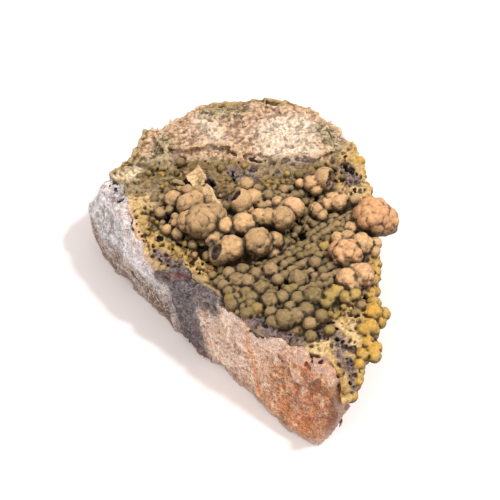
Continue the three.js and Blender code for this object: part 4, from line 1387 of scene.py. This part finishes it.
# The dark red band on the crust: reddish colour, darkened partly as painted shade.
red = mixed(tree, tiny, tint(54, 28, 24), tint(124, 66, 52))
ground = laid(tree, ground, stored(tree, "red"), 0.7, red)

FIRST_TONE, LAST_TONE = (0.08, (176, 132, 44)), (0.95, (192, 142, 98))
TONES_BETWEEN = [(0.24, (174, 144, 74)), (0.3, (138, 116, 62)), (0.34, (114, 97, 58)), (0.41, (138, 115, 80)),
                 (0.5, (188, 152, 106)), (0.62, (198, 158, 116)), (0.75, (196, 152, 108))]
tones = put(tree, "ShaderNodeValToRGB", {0: stored(tree, "tone")})
stops = tones.color_ramp.elements
for stop, (position, shade) in zip(stops, (FIRST_TONE, LAST_TONE)):
    stop.position = position
    stop.color = tint(*shade)
for position, shade in TONES_BETWEEN:
    stops.new(position).color = tint(*shade)
rise = stored(tree, "rise")
# Painted light and shade: each spheroid is made paler towards its top and darker and ochre on its lower side,
# by how high on its ball a point lies; tiny and middling add random tone.
underside = eased(tree, rise, 0.45, -0.35)
painted_top_light = eased(tree, rise, 0.0, 1.0)
shade = plus(tree, 0.22, times(tree, tiny, 0.36))
shade = plus(tree, shade, times(tree, painted_top_light, 0.98))
shade = minus(tree, shade, times(tree, middling, 0.18))
olive = laid(tree, tones.outputs["Color"], underside, 0.7, tint(142, 92, 24))
olive = scaled_by(tree, olive, shade)
color = mixed(tree, on_ball, ground, olive)
shell_color = mixed(tree, tiny, tint(206, 164, 104), tint(246, 222, 176))
color = laid(tree, color, stored(tree, "shell"), 0.85, shell_color)

# Dark purplish crystal colour in the boxwork cells; in deep holes and broken shells it is painted shade.
pit_and_shade_color = mixed(tree, tiny, tint(28, 23, 28), tint(104, 90, 100))
color = laid(tree, color, stored(tree, "pit"), 0.94, pit_and_shade_color)
# Painted shade: creases, gaps and enclosed places are darkened towards near black, less on open ground.
painted_hollow_shade = times(tree, larger(tree, stored(tree, "crease"), stored(tree, "fine_crease")), 0.85)
painted_hollow_shade = larger(tree, painted_hollow_shade, times(tree, stored(tree, "sunk"), 0.9))
open_ground = larger(tree, on_plateau, is_yellow)
painted_hollow_shade = times(tree, painted_hollow_shade, minus(tree, 1.0, times(tree, open_ground, 0.45)))
crested = plus(tree, 0.06, times(tree, minus(tree, 1.0, on_ball), 0.26))
crested = times(tree, stored(tree, "fine_crest"), crested)
darker_ground = larger(tree, in_belt, is_dusky)
crested = times(tree, crested, minus(tree, 1.0, times(tree, darker_ground, 0.7)))
rubbed_color = mixed(tree, in_boxwork, tint(232, 210, 164), tint(232, 200, 138))
shaded_and_worn = put(tree, "ShaderNodeGroup",
           {"Color": color, "Dark": tint(28, 22, 13), "Pale": rubbed_color, "Crease": painted_hollow_shade,
            "Crest": crested}, node_tree=crease_shade_and_wear)
tree.links.new(shaded_and_worn.outputs["Color"], shader.inputs["Base Color"])
tree.links.new(minus(tree, 0.82, times(tree, on_ball, 0.2)), shader.inputs["Roughness"])
velvet = noise_at(tree, place, scale=4.5, detail=5.0, roughness=0.65)
relief = plus(tree, velvet, times(tree, sandy["Relief"], 0.5))
bump = put(tree, "ShaderNodeBump", {"Height": relief, "Strength": 0.7, "Distance": 0.00012})
tree.links.new(bump.outputs["Normal"], shader.inputs["Normal"])
shader.inputs["Sheen Weight"].default_value = 0.1
shader.inputs["Sheen Roughness"].default_value = 0.3
shader.inputs["Sheen Tint"].default_value = (1.0, 0.9, 0.72, 1.0)
shader.inputs["Specular IOR Level"].default_value = 0.35
for piece, _ in crust_pieces:
    piece.data.materials.append(crust_paint)
